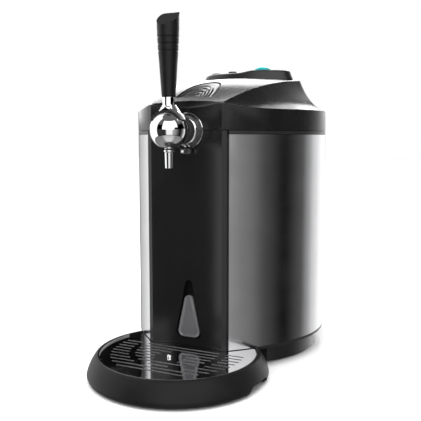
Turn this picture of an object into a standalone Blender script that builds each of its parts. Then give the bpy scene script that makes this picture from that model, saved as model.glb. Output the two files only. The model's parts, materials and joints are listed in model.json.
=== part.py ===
"""Countertop party-keg beer cooler with a ball tap, a hinged lid and a round drip tray.

Lengths are in millimetres and turned into metres where a mesh is made.
The machine's frame has its origin on the floor under the keg's axis: +X is the machine's
left-hand side as it faces -Y, +Y is its back and +Z is up. An empty carries that frame, moved
so that the world's origin is the middle of the whole object's footprint.
"""

import math

import bmesh
import bpy
from mathutils import Matrix, Vector

MM = 0.001
GAP = 0.4  # between neighbouring pieces

# Body in plan: a round back, flatter flanks and a narrow, slightly hollow front
BODY_R = 136.0
FLANK_START = 23.0  # degrees in front of the side where the flatter flank begins
CORNER = (57.8, -146.0)  # front edge of the flank
FACE_X = 50.3  # half width of the front face
FACE_Y = -151.6
FACE_HOLLOW = 7.0

# Heights of the body
FLOOR_Z = 27.0
WRAP_LOW = 30.9
WRAP_HIGH = 306.9
DECK_LOW = 307.2
DECK_HIGH = 311.7
LID_LOW = 312.3

# Keg chamber
KEG_BORE_R = 90.0
LINER_WALL = 1.5
CHAMBER_FLOOR = 50.0

# Lid
SKIRT_HIGH = 339.4
FRONT_HIGH = 345.4
LID_WALL = 3.0
LID_SIDE = (94.5, 28.0)  # where the straight side of the lid's top meets its round back
LID_BACK_R = 98.6
HINGE_Y = 143.5
HINGE_Z = 312.0
CONSOLE_Y = 61.0
CONSOLE_A = 73.0
CONSOLE_B = 34.0
CONSOLE_RIM = 399.0
PAD_FRONT = -128.0
PAD_BACK = -66.0
PAD_HALF = 25.0
BUTTONS = {  # x, y, radius, top, dome height
    "power_button": (27.0, 54.0, 12.5, 410.0, 3.2),
    "mode_button": (-22.0, 54.0, 6.5, 405.4, 0.8),
    "light_button": (-49.0, 54.0, 8.0, 404.8, 2.2),
}

# Tap
BALL = Vector((0.0, -196.0, 311.7))
BALL_R = 23.0
NECK_R = 11.8
HOOD_WALL = 2.8
LEVER_TRAVEL = 42.0
STEM_LEAN = 30.0
HANDLE_LOW = 351.3
HANDLE_HIGH = 452.0

# Drip tray
TRAY_Y = -174.8
TRAY_R = 116.2
PLATE_Y = -176.5
PLATE_R = 100.7
PLATE_TOP = 30.0
LIP_TOP = 32.0
SLOT_PITCH = 9.7
SLOT_WIDTH = 3.2
LIP_ANGLE = 20.0  # how far behind the plate's middle its raised lip reaches
STUD_Y = -198.1
SCOOP_Y = -182.0  # middle of the finger scoops
PLINTH_R = 124.0
PLINTH_FRONT = -86.0

# Cooling unit and rear housing
HOUSING_X = 104.0
HOUSING_Y = 146.0
HOUSING_LOW = 12.0
HOUSING_HIGH = 178.0
FAN_Z = 112.0
FAN_SIDE = 80.0

HINGE_R = 6.0
AXIS_Y = (TRAY_R - TRAY_Y - HINGE_Y - HINGE_R) / 2  # puts the world's origin mid-footprint


# ---------------------------------------------------------------- scene and materials

for leftover in list(bpy.data.objects):
    bpy.data.objects.remove(leftover, do_unlink=True)

PARTS = bpy.data.collections.new("keg_cooler")
CUTTERS = bpy.data.collections.new("cutters")
for collection in (PARTS, CUTTERS):
    bpy.context.scene.collection.children.link(collection)
CUTTERS.hide_render = True


def material(name, colour, roughness, metallic=0.0, alpha=1.0):
    made = bpy.data.materials.new(name)
    made.use_nodes = True
    shader = made.node_tree.nodes["Principled BSDF"]
    shader.inputs["Base Color"].default_value = (*colour, 1.0)
    shader.inputs["Roughness"].default_value = roughness
    shader.inputs["Metallic"].default_value = metallic
    shader.inputs["Alpha"].default_value = alpha
    made.diffuse_color = (*colour, alpha)
    return made


BLACK_GLOSS = material("gloss_black", (0.018, 0.018, 0.019), 0.22)
BLACK_SATIN = material("satin_black", (0.028, 0.028, 0.029), 0.42)
BLACK_MATT = material("matt_black", (0.03, 0.03, 0.031), 0.6)
RUBBER = material("rubber", (0.02, 0.02, 0.02), 0.8)
STEEL = material("brushed_steel", (0.55, 0.55, 0.56), 0.3, 1.0)
CHROME = material("chrome", (0.85, 0.85, 0.86), 0.05, 1.0)
MIRROR_STEEL = material("mirror_steel", (0.35, 0.35, 0.36), 0.08, 1.0)
ALUMINIUM = material("aluminium", (0.75, 0.76, 0.77), 0.35, 1.0)
ZINC = material("zinc", (0.6, 0.6, 0.6), 0.4, 1.0)
FOAM = material("foam", (0.8, 0.78, 0.7), 0.9)
CERAMIC = material("ceramic", (0.85, 0.85, 0.83), 0.5)
SMOKE = material("smoke_lens", (0.22, 0.22, 0.23), 0.12, 0.0, 0.6)
TEAL = material("teal_cap", (0.03, 0.55, 0.55), 0.25)
GREY = material("grey_cap", (0.35, 0.35, 0.36), 0.35)
GREEN = material("circuit_green", (0.02, 0.16, 0.07), 0.5)


def empty(name, at, parent=None):
    """A frame at a point of the machine's frame; the first one is the machine's own."""
    made = bpy.data.objects.new(name, None)
    PARTS.objects.link(made)
    made.parent = parent
    ORIGIN[name] = Vector(at) * MM
    made.location = ORIGIN[name] - (ORIGIN[parent.name] if parent else Vector())
    return made


ORIGIN = {}
MACHINE = empty("machine", (0.0, AXIS_Y, 0.0))
ORIGIN["machine"] = Vector()
LID_PIVOT = empty("lid_pivot", (0.0, HINGE_Y, HINGE_Z), MACHINE)
LEVER_PIVOT = empty("lever_pivot", BALL, MACHINE)
TRAY_SLIDE = empty("tray_slide", (0.0, TRAY_Y, 0.0), MACHINE)
FAN_AXLE = empty("fan_axle", (0.0, 136.0, FAN_Z), MACHINE)
PAD_SLIDE = empty("pad_slide", (0.0, (PAD_FRONT + PAD_BACK) / 2, 355.0), LID_PIVOT)
CATCH_SLIDE = empty("catch_slide", (0.0, -149.0, 285.3), MACHINE)
PLATE_LIFT = empty("plate_lift", (0.0, PLATE_Y, PLATE_TOP), TRAY_SLIDE)


# ---------------------------------------------------------------- mesh helpers


def linked(name, mesh, look, carrier):
    """An object among the parts, or among the cutters if it has no look of its own."""
    obj = bpy.data.objects.new(name, mesh)
    if look is None:
        CUTTERS.objects.link(obj)
        obj.hide_render = True
        obj.display_type = "WIRE"
    else:
        PARTS.objects.link(obj)
        mesh.materials.append(look)
    obj.parent = carrier
    return obj


def place(name, mesh, look=None, carrier=None, sharp=35.0):
    """Links a mesh given in the machine's frame, with its origin on its carrier's."""
    carrier = carrier or MACHINE
    obj = linked(name, mesh, look, carrier)
    mesh.transform(Matrix.Translation(-ORIGIN[carrier.name]))
    mesh.shade_smooth()
    mesh.set_sharp_from_angle(angle=math.radians(sharp))
    return obj


def to_mesh(bm, scale=MM):
    bmesh.ops.scale(bm, vec=(scale,) * 3, verts=bm.verts)
    bmesh.ops.recalc_face_normals(bm, faces=bm.faces)
    mesh = bpy.data.meshes.new("shape")
    bm.to_mesh(mesh)
    bm.free()
    return mesh


def blocks(boxes):
    """Several separate boxes in one mesh, for a cutter or for a union."""
    bm = bmesh.new()
    for low, high in boxes:
        low, high = Vector(low), Vector(high)
        size = Matrix.Diagonal((*(high - low), 1.0))
        bmesh.ops.create_cube(bm, size=1.0, matrix=Matrix.Translation((low + high) / 2) @ size)
    return to_mesh(bm)


def block(low, high):
    return blocks([(low, high)])


def rod(start, end, radius, segments=24, end_radius=None):
    """A round bar, or a cone, between two points."""
    start, end = Vector(start), Vector(end)
    along = end - start
    turn = along.to_track_quat("Z", "Y").to_matrix().to_4x4()
    bm = bmesh.new()
    bmesh.ops.create_cone(
        bm,
        cap_ends=True,
        segments=segments,
        radius1=radius,
        radius2=radius if end_radius is None else end_radius,
        depth=along.length,
        matrix=Matrix.Translation((start + end) / 2) @ turn,
    )
    return to_mesh(bm)


def ball(centre, radius, segments=32, rings=16):
    bm = bmesh.new()
    bmesh.ops.create_uvsphere(
        bm,
        u_segments=segments,
        v_segments=rings,
        radius=radius,
        matrix=Matrix.Translation(centre),
    )
    return to_mesh(bm)


def slab(outlines, low, high, plane="XY"):
    """Flat outlines, the inner ones holes, thickened between two heights on the third axis."""
    curve = bpy.data.curves.new("outline", "CURVE")
    curve.dimensions = "2D"
    curve.fill_mode = "BOTH"
    curve.extrude = (high - low) / 2 * MM
    for points in outlines:
        spline = curve.splines.new("POLY")
        spline.points.add(len(points) - 1)
        for point, (u, v) in zip(spline.points, points):
            point.co = (u * MM, v * MM, 0.0, 1.0)
        spline.use_cyclic_u = True
    helper = bpy.data.objects.new("outline", curve)
    bpy.context.scene.collection.objects.link(helper)
    graph = bpy.context.evaluated_depsgraph_get()
    mesh = bpy.data.meshes.new_from_object(helper.evaluated_get(graph))
    bpy.data.objects.remove(helper, do_unlink=True)
    bpy.data.curves.remove(curve)
    middle = (low + high) / 2 * MM
    order = {"XY": (0, 1, 2), "XZ": (0, 2, 1), "YZ": (2, 0, 1)}[plane]
    bm = bmesh.new()
    bm.from_mesh(mesh)
    bmesh.ops.remove_doubles(bm, verts=bm.verts, dist=1e-6)
    for vert in bm.verts:
        local = (vert.co.x, vert.co.y, vert.co.z + middle)
        vert.co = [local[axis] for axis in order]
    bpy.data.meshes.remove(mesh)
    return to_mesh(bm, 1.0)


def turned(name, profile, at, look, carrier=None, along="Z", steps=32):
    """A profile of (radius, height) pairs, outer side from top to bottom, spun about an axis at a point.

    A profile that starts and ends on the axis is open; any other closes on itself.
    """
    bm = bmesh.new()
    verts = [bm.verts.new((r * MM, 0.0, h * MM)) for r, h in profile]
    for first, second in zip(verts, verts[1:]):
        bm.edges.new((first, second))
    if profile[0][0] > 0:
        bm.edges.new((verts[-1], verts[0]))
    mesh = bpy.data.meshes.new("profile")
    bm.to_mesh(mesh)
    bm.free()
    carrier = carrier or MACHINE
    obj = linked(name, mesh, look, carrier)
    obj.location = Vector(at) * MM - ORIGIN[carrier.name]
    obj.rotation_euler.x = math.radians({"Z": 0, "-Y": 90, "+Y": -90}[along])
    screw = obj.modifiers.new("Spin", "SCREW")
    screw.steps = screw.render_steps = steps
    screw.use_merge_vertices = True
    screw.merge_threshold = 1e-5
    screw.use_smooth_shade = True
    return obj


def combine(obj, tool, operation="DIFFERENCE"):
    step = obj.modifiers.new(operation.title(), "BOOLEAN")
    step.operation = operation
    step.object = tool
    return obj


def cut(obj, *meshes):
    for mesh in meshes:
        combine(obj, place("cut_" + obj.name, mesh))
    return obj


def join(obj, *meshes):
    for mesh in meshes:
        combine(obj, place("add_" + obj.name, mesh), "UNION")
    return obj


def loft(rings, cap_low=True, cap_high=True):
    """Skins closed rings of equal length and caps the ends with flat faces."""
    bm = bmesh.new()
    rows = [[bm.verts.new(point) for point in ring] for ring in rings]
    for lower, upper in zip(rows, rows[1:]):
        for i in range(len(lower)):
            j = (i + 1) % len(lower)
            bm.faces.new((lower[i], lower[j], upper[j], upper[i]))
    if cap_low:
        bm.faces.new(rows[0][::-1])
    if cap_high:
        bm.faces.new(rows[-1])
    return to_mesh(bm)


# ---------------------------------------------------------------- outlines


def arc(centre, radius, start, end, count):
    """Points on an arc, angles in degrees, ends included."""
    step = (end - start) / (count - 1)
    angles = [math.radians(start + i * step) for i in range(count)]
    return [(centre[0] + radius * math.cos(a), centre[1] + radius * math.sin(a)) for a in angles]


def circle(centre, radius, count=48):
    return arc(centre, radius, 0.0, 360.0 * (count - 1) / count, count)


def flank_arc():
    """Centre, radius and start angle of the flat arc that runs from the front corner into the back."""
    angle = math.radians(FLANK_START)
    normal = Vector((math.cos(angle), -math.sin(angle)))
    corner = Vector(CORNER)
    shift = (corner.length_squared - BODY_R**2) / (2 * (BODY_R - corner.dot(normal)))
    centre = -shift * normal
    start = math.degrees(math.atan2(corner.y - centre.y, corner.x - centre.x))
    return centre, BODY_R + shift, start


def right_side(inset=0.0, flank_points=6, back_points=17):
    """The body's plan from the front right corner to the middle of the back."""
    centre, radius, start = flank_arc()
    front = arc(centre, radius - inset, start, -FLANK_START, flank_points)
    back = arc((0.0, 0.0), BODY_R - inset, -FLANK_START, 90.0, back_points)
    return front + back[1:]


def face_y(x):
    """The hollow front face."""
    radius = (FACE_X**2 + FACE_HOLLOW**2) / (2 * FACE_HOLLOW)
    return FACE_Y + FACE_HOLLOW - radius + math.sqrt(radius**2 - x**2)


def face_line(half, back, count=9):
    """The front face from left to right, moved back."""
    xs = [-half + 2 * half * i / (count - 1) for i in range(count)]
    return [(x, face_y(x) + back) for x in xs]


def mirrored(points):
    return [(-x, y) for x, y in reversed(points)]


def body_plan(inset, back):
    """The whole plan, its front line set back from the front face."""
    side = right_side(inset)
    return side + mirrored(side[:-1]) + face_line(side[0][0] - 1.3, back)


def rounded_box(x0, y0, x1, y1, radius, count=5):
    points = []
    for cx, cy, start in (
        (x1 - radius, y0 + radius, -90),
        (x1 - radius, y1 - radius, 0),
        (x0 + radius, y1 - radius, 90),
        (x0 + radius, y0 + radius, 180),
    ):
        points += arc((cx, cy), radius, start, start + 90, count)
    return points


def hull(circles, count=20):
    """The convex outline round some circles of (x, y, radius)."""
    cloud = sorted(p for x, y, r in circles for p in circle((x, y), r, count))
    chains = []
    for points in (cloud, cloud[::-1]):
        chain = []
        for p in points:
            while len(chain) > 1:
                (ax, ay), (bx, by) = chain[-2:]
                if (bx - ax) * (p[1] - ay) - (by - ay) * (p[0] - ax) > 1e-6:
                    break
                chain.pop()
            chain.append(p)
        chains += chain[:-1]
    return chains


# ---------------------------------------------------------------- base and body shell


def make_base():
    angle = math.degrees(math.asin(-PLINTH_FRONT / PLINTH_R))
    outer = arc((0.0, 0.0), PLINTH_R, -angle, 180.0 + angle, 36)
    inner_front = PLINTH_FRONT + 3.0
    inner_angle = math.degrees(math.asin(-inner_front / (PLINTH_R - 3.0)))
    inner = arc((0.0, 0.0), PLINTH_R - 3.0, -inner_angle, 180.0 + inner_angle, 36)
    plinth = place("base_plinth", slab([outer], 2.5, FLOOR_Z - 0.3), BLACK_SATIN)
    cut(plinth, slab([inner], 5.0, FLOOR_Z + 5.0))
    screw_places = [(-78.0, -62.0), (78.0, -62.0), (-70.0, 72.0), (70.0, 72.0)]
    for x, y in screw_places:
        join(plinth, rod((x, y, 4.0), (x, y, FLOOR_Z - 0.6), 6.0, 10))
    for number, (x, y) in enumerate(screw_places, 1):
        cut(plinth, rod((x, y, 0.0), (x, y, 6.0), 4.6, 10), rod((x, y, 5.0), (x, y, 40.0), 2.5, 8))
        profile = [(0, 21.0), (1.9, 21.0), (1.9, 5.4), (3.9, 5.4), (3.9, 3.4), (3.0, 2.7), (0, 2.7)]
        turned(f"plinth_screw_{number}", profile, (x, y, 0.0), ZINC, steps=8)
    for name, x, y in (
        ("foot_front_left", -88.0, -62.0),
        ("foot_front_right", 88.0, -62.0),
        ("foot_rear_left", -80.0, 78.0),
        ("foot_rear_right", 80.0, 78.0),
    ):
        profile = [(0, 2.2), (9.5, 2.2), (9.5, 0.8), (8.7, 0.0), (0, 0.0)]
        turned(name, profile, (x, y, 0.0), RUBBER, steps=16)


def make_shell():
    place("floor_pan", slab([body_plan(0.0, 8.0)], FLOOR_Z, WRAP_LOW - 0.3), BLACK_SATIN)
    side = right_side(0.0)
    inside = right_side(1.0)
    sheet = side + mirrored(side[:-1]) + (inside + mirrored(inside[:-1]))[::-1]
    wrap = place("steel_wrap", slab([sheet], WRAP_LOW, WRAP_HIGH), STEEL)
    window = [(-88.0, 40.0, 34.0), (88.0, 160.0, 170.0)]
    cut(wrap, block(*window))
    walls = [body_plan(1.5, 8.0), body_plan(3.7, 10.2)]
    tub = place("inner_body", slab(walls, WRAP_LOW, WRAP_HIGH - 0.3), BLACK_MATT)
    cut(tub, block(*window))
    cut(tub, rod((0, -160, BALL.z), (0, -120, BALL.z), NECK_R + GAP, 24))
    cut(tub, block((-14, -150, 47), (14, -130, 77)))


def make_top_deck():
    plan = body_plan(0.0, 8.0)
    deck = place("top_deck", slab([plan, circle((0, 0), KEG_BORE_R + 1)], DECK_LOW, DECK_HIGH), BLACK_SATIN)
    cut(deck, blocks([((-16.4, -160, 300), (16.4, -86, 320)), ((17.5, -121.5, 300), (25, -110.5, 320))]))


def teardrop(grow=0.0):
    return hull([(0, 113, 5 + grow), (-8.8, 48.5, 9.2 + grow), (8.8, 48.5, 9.2 + grow)])


def lens_outline(grow=0.0):
    return hull([(0, 90.5, 6.4 + grow), (-7.6, 48.8, 8.0 + grow), (7.6, 48.8, 8.0 + grow)])


def make_front():
    outer = [(-56.3, -147.0), (-56.3, -149.3)] + face_line(FACE_X, 0.0, 13) + [(56.3, -149.3), (56.3, -147.0)]
    inner = [(53.6, -147.0)] + face_line(FACE_X - 0.6, 3.0, 13)[::-1] + [(-53.6, -147.0)]
    panel = place("front_panel", slab([outer + inner], FLOOR_Z + 0.5, DECK_HIGH), BLACK_GLOSS)
    cut(panel, slab([teardrop()], -160.0, -130.0, "XZ"))
    cut(panel, rod((0, -160, BALL.z), (0, -130, BALL.z), NECK_R + GAP, 24))
    cut(panel, block((-3.6, -160, 282.9), (3.6, -130, 287.6)))

    bezel = place("lamp_bezel", slab([teardrop(-GAP)], -143.4, -140.0, "XZ"), BLACK_MATT)
    join(bezel, slab([teardrop(3.0)], -141.0, -138.2, "XZ"))
    cut(bezel, slab([lens_outline(0.3)], -150.0, -140.4, "XZ"))
    cut(bezel, rod((0, -150, 62), (0, -130, 62), 4.4, 16))
    place("indicator_lens", slab([lens_outline()], -145.0, -140.8, "XZ"), SMOKE)
    lamp = place("indicator_lamp", block((-12, -137.8, 50), (12, -136.2, 74)), GREEN)
    join(lamp, rod((0, -137.0, 62), (0, -140.0, 62), 3.6, 16))


def make_chamber():
    r = KEG_BORE_R
    wall = r + LINER_WALL
    low = CHAMBER_FLOOR - LINER_WALL
    high = WRAP_HIGH - 0.3
    profile = [(wall + 7, high), (wall + 7, high - 1.5), (wall, high - 1.5), (wall, low), (0, low)]
    profile = [(0, CHAMBER_FLOOR), (r, CHAMBER_FLOOR), (r, high)] + profile
    turned("chamber_liner", profile, (0, 0, 0), ALUMINIUM, steps=40)
    low_pad, high_pad = CHAMBER_FLOOR + 0.3, CHAMBER_FLOOR + 2.8
    pad = [(72, high_pad), (72, low_pad), (52, low_pad), (52, high_pad)]
    turned("keg_pad", pad, (0, 0, 0), RUBBER, steps=28)
    inner, outer, top, floor = wall + GAP, 108.0, high - 2.0, low - GAP
    profile = [(0, floor), (inner, floor), (inner, top), (outer, top), (outer, 34.0), (0, 34.0)]
    jacket = turned("insulation_jacket", profile, (0, 0, 0), FOAM, steps=40)
    cut(jacket, block((-31, 80, 78), (31, 130, 153)))


def make_cooler():
    cold = place("cold_block", block((-30, 84, 92), (30, 104, 152)), ALUMINIUM)
    cut(cold, rod((0, 0, 80), (0, 0, 160), KEG_BORE_R + LINER_WALL + GAP, 96))
    place("peltier_module", block((-20, 104.4, 102), (20, 108.4, 142)), CERAMIC)
    probe = [(0, 91.4), (2.6, 91.4), (2.6, 80.0), (0, 80.0)]
    turned("temperature_probe", probe, (0, 97.0, 0), ZINC, steps=16)

    half = FAN_SIDE / 2
    fins = 12
    pitch = (FAN_SIDE - 2.0) / (fins - 1)
    comb = [(half, 108.8), (-half, 108.8)][::-1]
    for i in range(fins):
        x = half - i * pitch
        comb += [(x, 130.6), (x - 2.0, 130.6), (x - 2.0, 113.8), (x - pitch, 113.8)]
    comb = [p for p in comb if p[0] > -half - 0.5]
    place("heat_sink", slab([comb], FAN_Z - half, FAN_Z + half), ALUMINIUM)

    frame = rounded_box(-half, FAN_Z - half, half, FAN_Z + half, 5)
    fan = place("fan_frame", slab([frame, circle((0, FAN_Z), 37)], 131.2, 142.8, "XZ"), BLACK_MATT)
    join(fan, blocks([((-38, 140.9, FAN_Z - 1.6), (38, 142.6, FAN_Z + 1.6))]))
    join(fan, blocks([((-1.6, 140.9, FAN_Z - 38), (1.6, 142.6, FAN_Z + 38))]))
    join(fan, rod((0, 140.4, FAN_Z), (0, 142.8, FAN_Z), 14, 24))
    rotor = place("fan_rotor", rod((0, 132.4, FAN_Z), (0, 139.8, FAN_Z), 15, 28), BLACK_MATT, FAN_AXLE)
    for i in range(7):
        blade = block((12, 135.5, FAN_Z - 8), (35, 137.0, FAN_Z + 8))
        centre = Matrix.Translation(Vector((0, 136.2, FAN_Z)) * MM)
        spin = Matrix.Rotation(math.radians(360 / 7 * i), 4, "Y")
        pitch_turn = Matrix.Rotation(math.radians(24), 4, "X")
        blade.transform(centre @ spin @ pitch_turn @ centre.inverted())
        join(rotor, blade)


def make_rear():
    low, high, t = HOUSING_LOW, HOUSING_HIGH, 2.5
    x, y = HOUSING_X, HOUSING_Y
    outer = rounded_box(-x, 60, x, y, 20, 7)
    inner = rounded_box(-x + t, 50, x - t, y - t, 17.5, 7)
    housing = place("rear_housing", slab([outer], low, high), BLACK_SATIN)
    cut(housing, slab([inner], low + t, high - t))
    cut(housing, slab([body_plan(-GAP, 8.0)], FLOOR_Z - 0.3, 330.0))
    cut(housing, rod((0, 0, 0), (0, 0, FLOOR_Z), PLINTH_R + GAP, 64))
    slots = [((-32, 130, FAN_Z - 33.7 + 8 * i), (32, 160, FAN_Z - 30.3 + 8 * i)) for i in range(9)]
    for side in (-90, 90):
        slots += [((side - 20, 106, 60 + 9 * i), (side + 20, 124, 63.4 + 9 * i)) for i in range(9)]
    cut(housing, blocks(slots))
    cut(housing, block((-92, 130, 28), (-63, 160, 50)))

    socket = slab([rounded_box(-91.6, 28.4, -63.4, 49.6, 2)], 126, 147.0, "XZ")
    inlet = place("power_inlet", socket, BLACK_MATT)
    join(inlet, slab([rounded_box(-94.6, 25.4, -60.4, 52.6, 3)], 146.3, 148.0, "XZ"))
    cut(inlet, slab([rounded_box(-89, 31, -66, 47, 3)], 131.0, 160.0, "XZ"))
    pins = []
    for x, z in ((-84.8, 38.0), (-78.5, 40.5), (-72.2, 38.0)):
        pins.append(((x, 130.0, z), (x + 2.0, 144.0, z + 4.0)))
    join(inlet, blocks(pins))

    board = place("power_board", block((46, 138.6, 30), (90, 140.2, 150)), GREEN)
    parts = [((72, 126, 40), (88, 138.8, 66)), ((74, 130, 76), (92, 138.8, 92))]
    join(board, blocks(parts + [((72, 132, 104), (86, 138.8, 120))]))
    head = [(0, 1.6), (2.6, 1.5), (3.6, 0.3), (3.6, 0.0), (0, 0)]
    for name, x in (("housing_screw_1", -70), ("housing_screw_2", 70)):
        turned(name, head, (x, y + 0.3, 168.0), ZINC, along="+Y", steps=16)


def make_hinge():
    knuckle = arc((HINGE_Y, HINGE_Z), HINGE_R, -45, 190, 12)
    lug = [(125, 282), (140, 282), (147.5, 304)] + knuckle + [(125, 306)]
    bracket = place("hinge_bracket", slab([lug], -42.0, -27.0, "YZ"), BLACK_SATIN)
    join(bracket, slab([lug], 27.0, 42.0, "YZ"), block((-30, 125, 282), (30, 140, 303)))
    cut(bracket, rod((0, 0, 270), (0, 0, 330), BODY_R + GAP, 96))
    cut(bracket, rod((-60, HINGE_Y, HINGE_Z), (60, HINGE_Y, HINGE_Z), 2.7, 16))
    place("hinge_pin", rod((-41, HINGE_Y, HINGE_Z), (41, HINGE_Y, HINGE_Z), 2.4, 16), ZINC)
    arm = [(130, 313.2), (138.5, 313.2), (149.0, 312.0), (149.5, 314.0), (142, 332), (130, 334)]
    leaf = place("hinge_leaf", slab([arm], -26, 26, "YZ"), BLACK_SATIN, LID_PIVOT)
    join(leaf, rod((-26, HINGE_Y, HINGE_Z), (26, HINGE_Y, HINGE_Z), HINGE_R, 24))
    cut(leaf, rod((0, 0, 300), (0, 0, 345), BODY_R + GAP, 96))
    cut(leaf, rod((-60, HINGE_Y, HINGE_Z), (60, HINGE_Y, HINGE_Z), 2.7, 16))


# ---------------------------------------------------------------- lid


def skirt_z(x, y):
    """Top of the skirt: it climbs towards the front corners."""
    away = max(0.0, math.hypot(abs(x) - FACE_X, y - FACE_Y))
    return SKIRT_HIGH + (FRONT_HIGH - SKIRT_HIGH) * math.exp(-((away / 30.0) ** 1.5))


def edge_x(y):
    """Half width of the lid's top."""
    if y > LID_SIDE[1]:
        return math.sqrt(max(1.0, LID_BACK_R**2 - y**2))
    return FACE_X + (LID_SIDE[0] - FACE_X) * (y - FACE_Y) / (LID_SIDE[1] - FACE_Y)


def edge_z(y):
    """Height of the edge of the lid's top, from the front corner back."""
    t = min(1.0, (y - FACE_Y) / (LID_SIDE[1] - FACE_Y))
    return FRONT_HIGH + 68.0 * t - 29.0 * t * t + 0.02 * max(0.0, y - LID_SIDE[1])


def smooth_step(t):
    t = min(1.0, max(0.0, t))
    return t * t * (3 - 2 * t)


def top_z(x, y):
    """The crowned top of the lid."""
    crown = 7.5 * smooth_step((y - FACE_Y) / 75.0) - 3.0 * smooth_step((y + 40.0) / 80.0)
    across = min(1.0, abs(x) / edge_x(y))
    return edge_z(y) + crown * (1 - across**2.2)


def lid_rings(inset, drop, low):
    """Rings of the lid's surface, moved inwards and down, from its lower rim to its crown."""
    side = [(FACE_X, FACE_Y)] + right_side(0.0, 6, 10)
    steps = len(side) - 1
    edge_count = 9
    edge = []
    for i in range(steps + 1):
        if i <= edge_count:
            y = FACE_Y + 3.2 + (LID_SIDE[1] - FACE_Y - 3.2) * (i / edge_count) ** 1.15
            edge.append((edge_x(y) - 1.2 * (1 - i / edge_count), y))
        else:
            start = math.degrees(math.atan2(LID_SIDE[1], LID_SIDE[0]))
            angle = math.radians(start + (90 - start) * (i - edge_count) / (steps - edge_count))
            edge.append((LID_BACK_R * math.cos(angle), LID_BACK_R * math.sin(angle)))
    front = [(x, face_y(x)) for x in (-38, -25, -12, 0, 12, 25, 38)]
    plan = side + mirrored(side[:-1]) + front
    rim = edge + mirrored(edge[:-1]) + [(x * 0.97, y + 3.2) for x, y in front]

    def inwards(x, y, by):
        """Towards the lid's middle line, by a distance."""
        away = Vector((x, y + 20.0))
        away.length = max(1.0, away.length - by)
        return away.x, away.y - 20.0

    rings = []
    for height in (low, None):
        ring = []
        for x, y in plan:
            px, py = inwards(x, y, inset)
            ring.append((px, py, height if height else skirt_z(x, y) - drop))
        rings.append(ring)
    for v in (0.4, 0.75, 1.0):
        ring = []
        for (x0, y0), (x1, y1) in zip(plan, rim):
            x, y = x0 + (x1 - x0) * v, y0 + (y1 - y0) * v
            climb = 0.45 * v + 0.55 * v**3.2
            low_z = skirt_z(x0, y0)
            z = low_z + (top_z(x1, y1) - low_z) * climb
            px, py = inwards(x, y, inset)
            ring.append((px, py, z - drop))
        rings.append(ring)
    for f in (0.75, 0.45, 0.1):
        ring = []
        for x1, y1 in rim:
            x, y = x1 * f, -25.0 + (y1 + 25.0) * f
            px, py = inwards(x, y, inset * f)
            ring.append((px, py, top_z(x, y) - drop))
        rings.append(ring)
    return rings


def pad_outline(grow=0.0, count=17):
    """A straight front edge and a half oval behind it."""
    reach = PAD_BACK - PAD_FRONT + grow
    oval = [
        ((PAD_HALF + grow) * math.cos(math.radians(a)), PAD_FRONT + reach * math.sin(math.radians(a)))
        for a in [180.0 * i / (count - 1) for i in range(count)]
    ]
    return oval + [(-PAD_HALF - grow, PAD_FRONT - grow), (PAD_HALF + grow, PAD_FRONT - grow)]


def console_outline(grow=0.0, count=36):
    angles = [2 * math.pi * i / count for i in range(count)]
    a, b = CONSOLE_A + grow, CONSOLE_B + grow
    return [(a * math.cos(t), CONSOLE_Y + b * math.sin(t)) for t in angles]


def make_lid():
    outer = lid_rings(0.0, 0.0, LID_LOW)
    inner = lid_rings(LID_WALL, LID_WALL, LID_LOW)
    shell = place("lid_shell", loft(inner[::-1] + outer), BLACK_SATIN, LID_PIVOT, 28.0)
    cut(shell, slab([console_outline(GAP)], 340.0, 420.0))
    cut(shell, slab([pad_outline(0.7)], 335.0, 400.0))
    cut(shell, rod((0, -170, BALL.z), (0, -120, BALL.z), NECK_R + 0.6, 24))

    liner = place("lid_liner", slab([body_plan(4.4, 12.5)], LID_LOW + 0.4, 315.2), BLACK_MATT, LID_PIVOT)
    cut(liner, blocks([((-17, -160, 300), (17, -86, 330)), ((17.5, -122, 300), (25, -110, 330))]))
    groove = [(97.6, 314.0), (97.6, 300.0), (92.4, 300.0), (92.4, 314.0)]
    combine(liner, turned("cut_groove", groove, (0, 0, 0), None, steps=36))
    seal = [(97.2, 313.7), (97.2, 312.4), (95.8, 312.05), (94.2, 312.05), (92.8, 312.4), (92.8, 313.7)]
    turned("lid_seal", seal, (0, 0, 0), RUBBER, LID_PIVOT, steps=36)
    place("lid_insulation", slab([circle((0, 0), 83, 40)], 315.6, 332.0), FOAM, LID_PIVOT)


def pad_top(x, y):
    return top_z(x, y) - 1.2


def make_release_pad():
    rings = [[(x, y, pad_top(x, y) - 6.0) for x, y in pad_outline(0.0)]]
    heights = [(1.0, 0.0), (0.9, 0.0), (0.84, -1.2), (0.72, -1.2), (0.66, 0.0), (0.54, 0.0)]
    heights += [(0.48, -1.2), (0.36, -1.2), (0.3, 0.0), (0.12, 0.0)]
    for f, sunk in heights:
        ring = []
        for x, y in pad_outline(0.0):
            px, py = x * f, PAD_FRONT + 2.0 + (y - PAD_FRONT - 2.0) * f
            ring.append((px, py, pad_top(px, py) + sunk))
        rings.append(ring)
    pad = place("release_pad", loft(rings), BLACK_GLOSS, PAD_SLIDE)
    tongue = [((18.5, -120, 303.0), (24.0, -112, 351.0))]
    place("latch_tongue", blocks(tongue), BLACK_MATT, PAD_SLIDE)
    return pad


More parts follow.
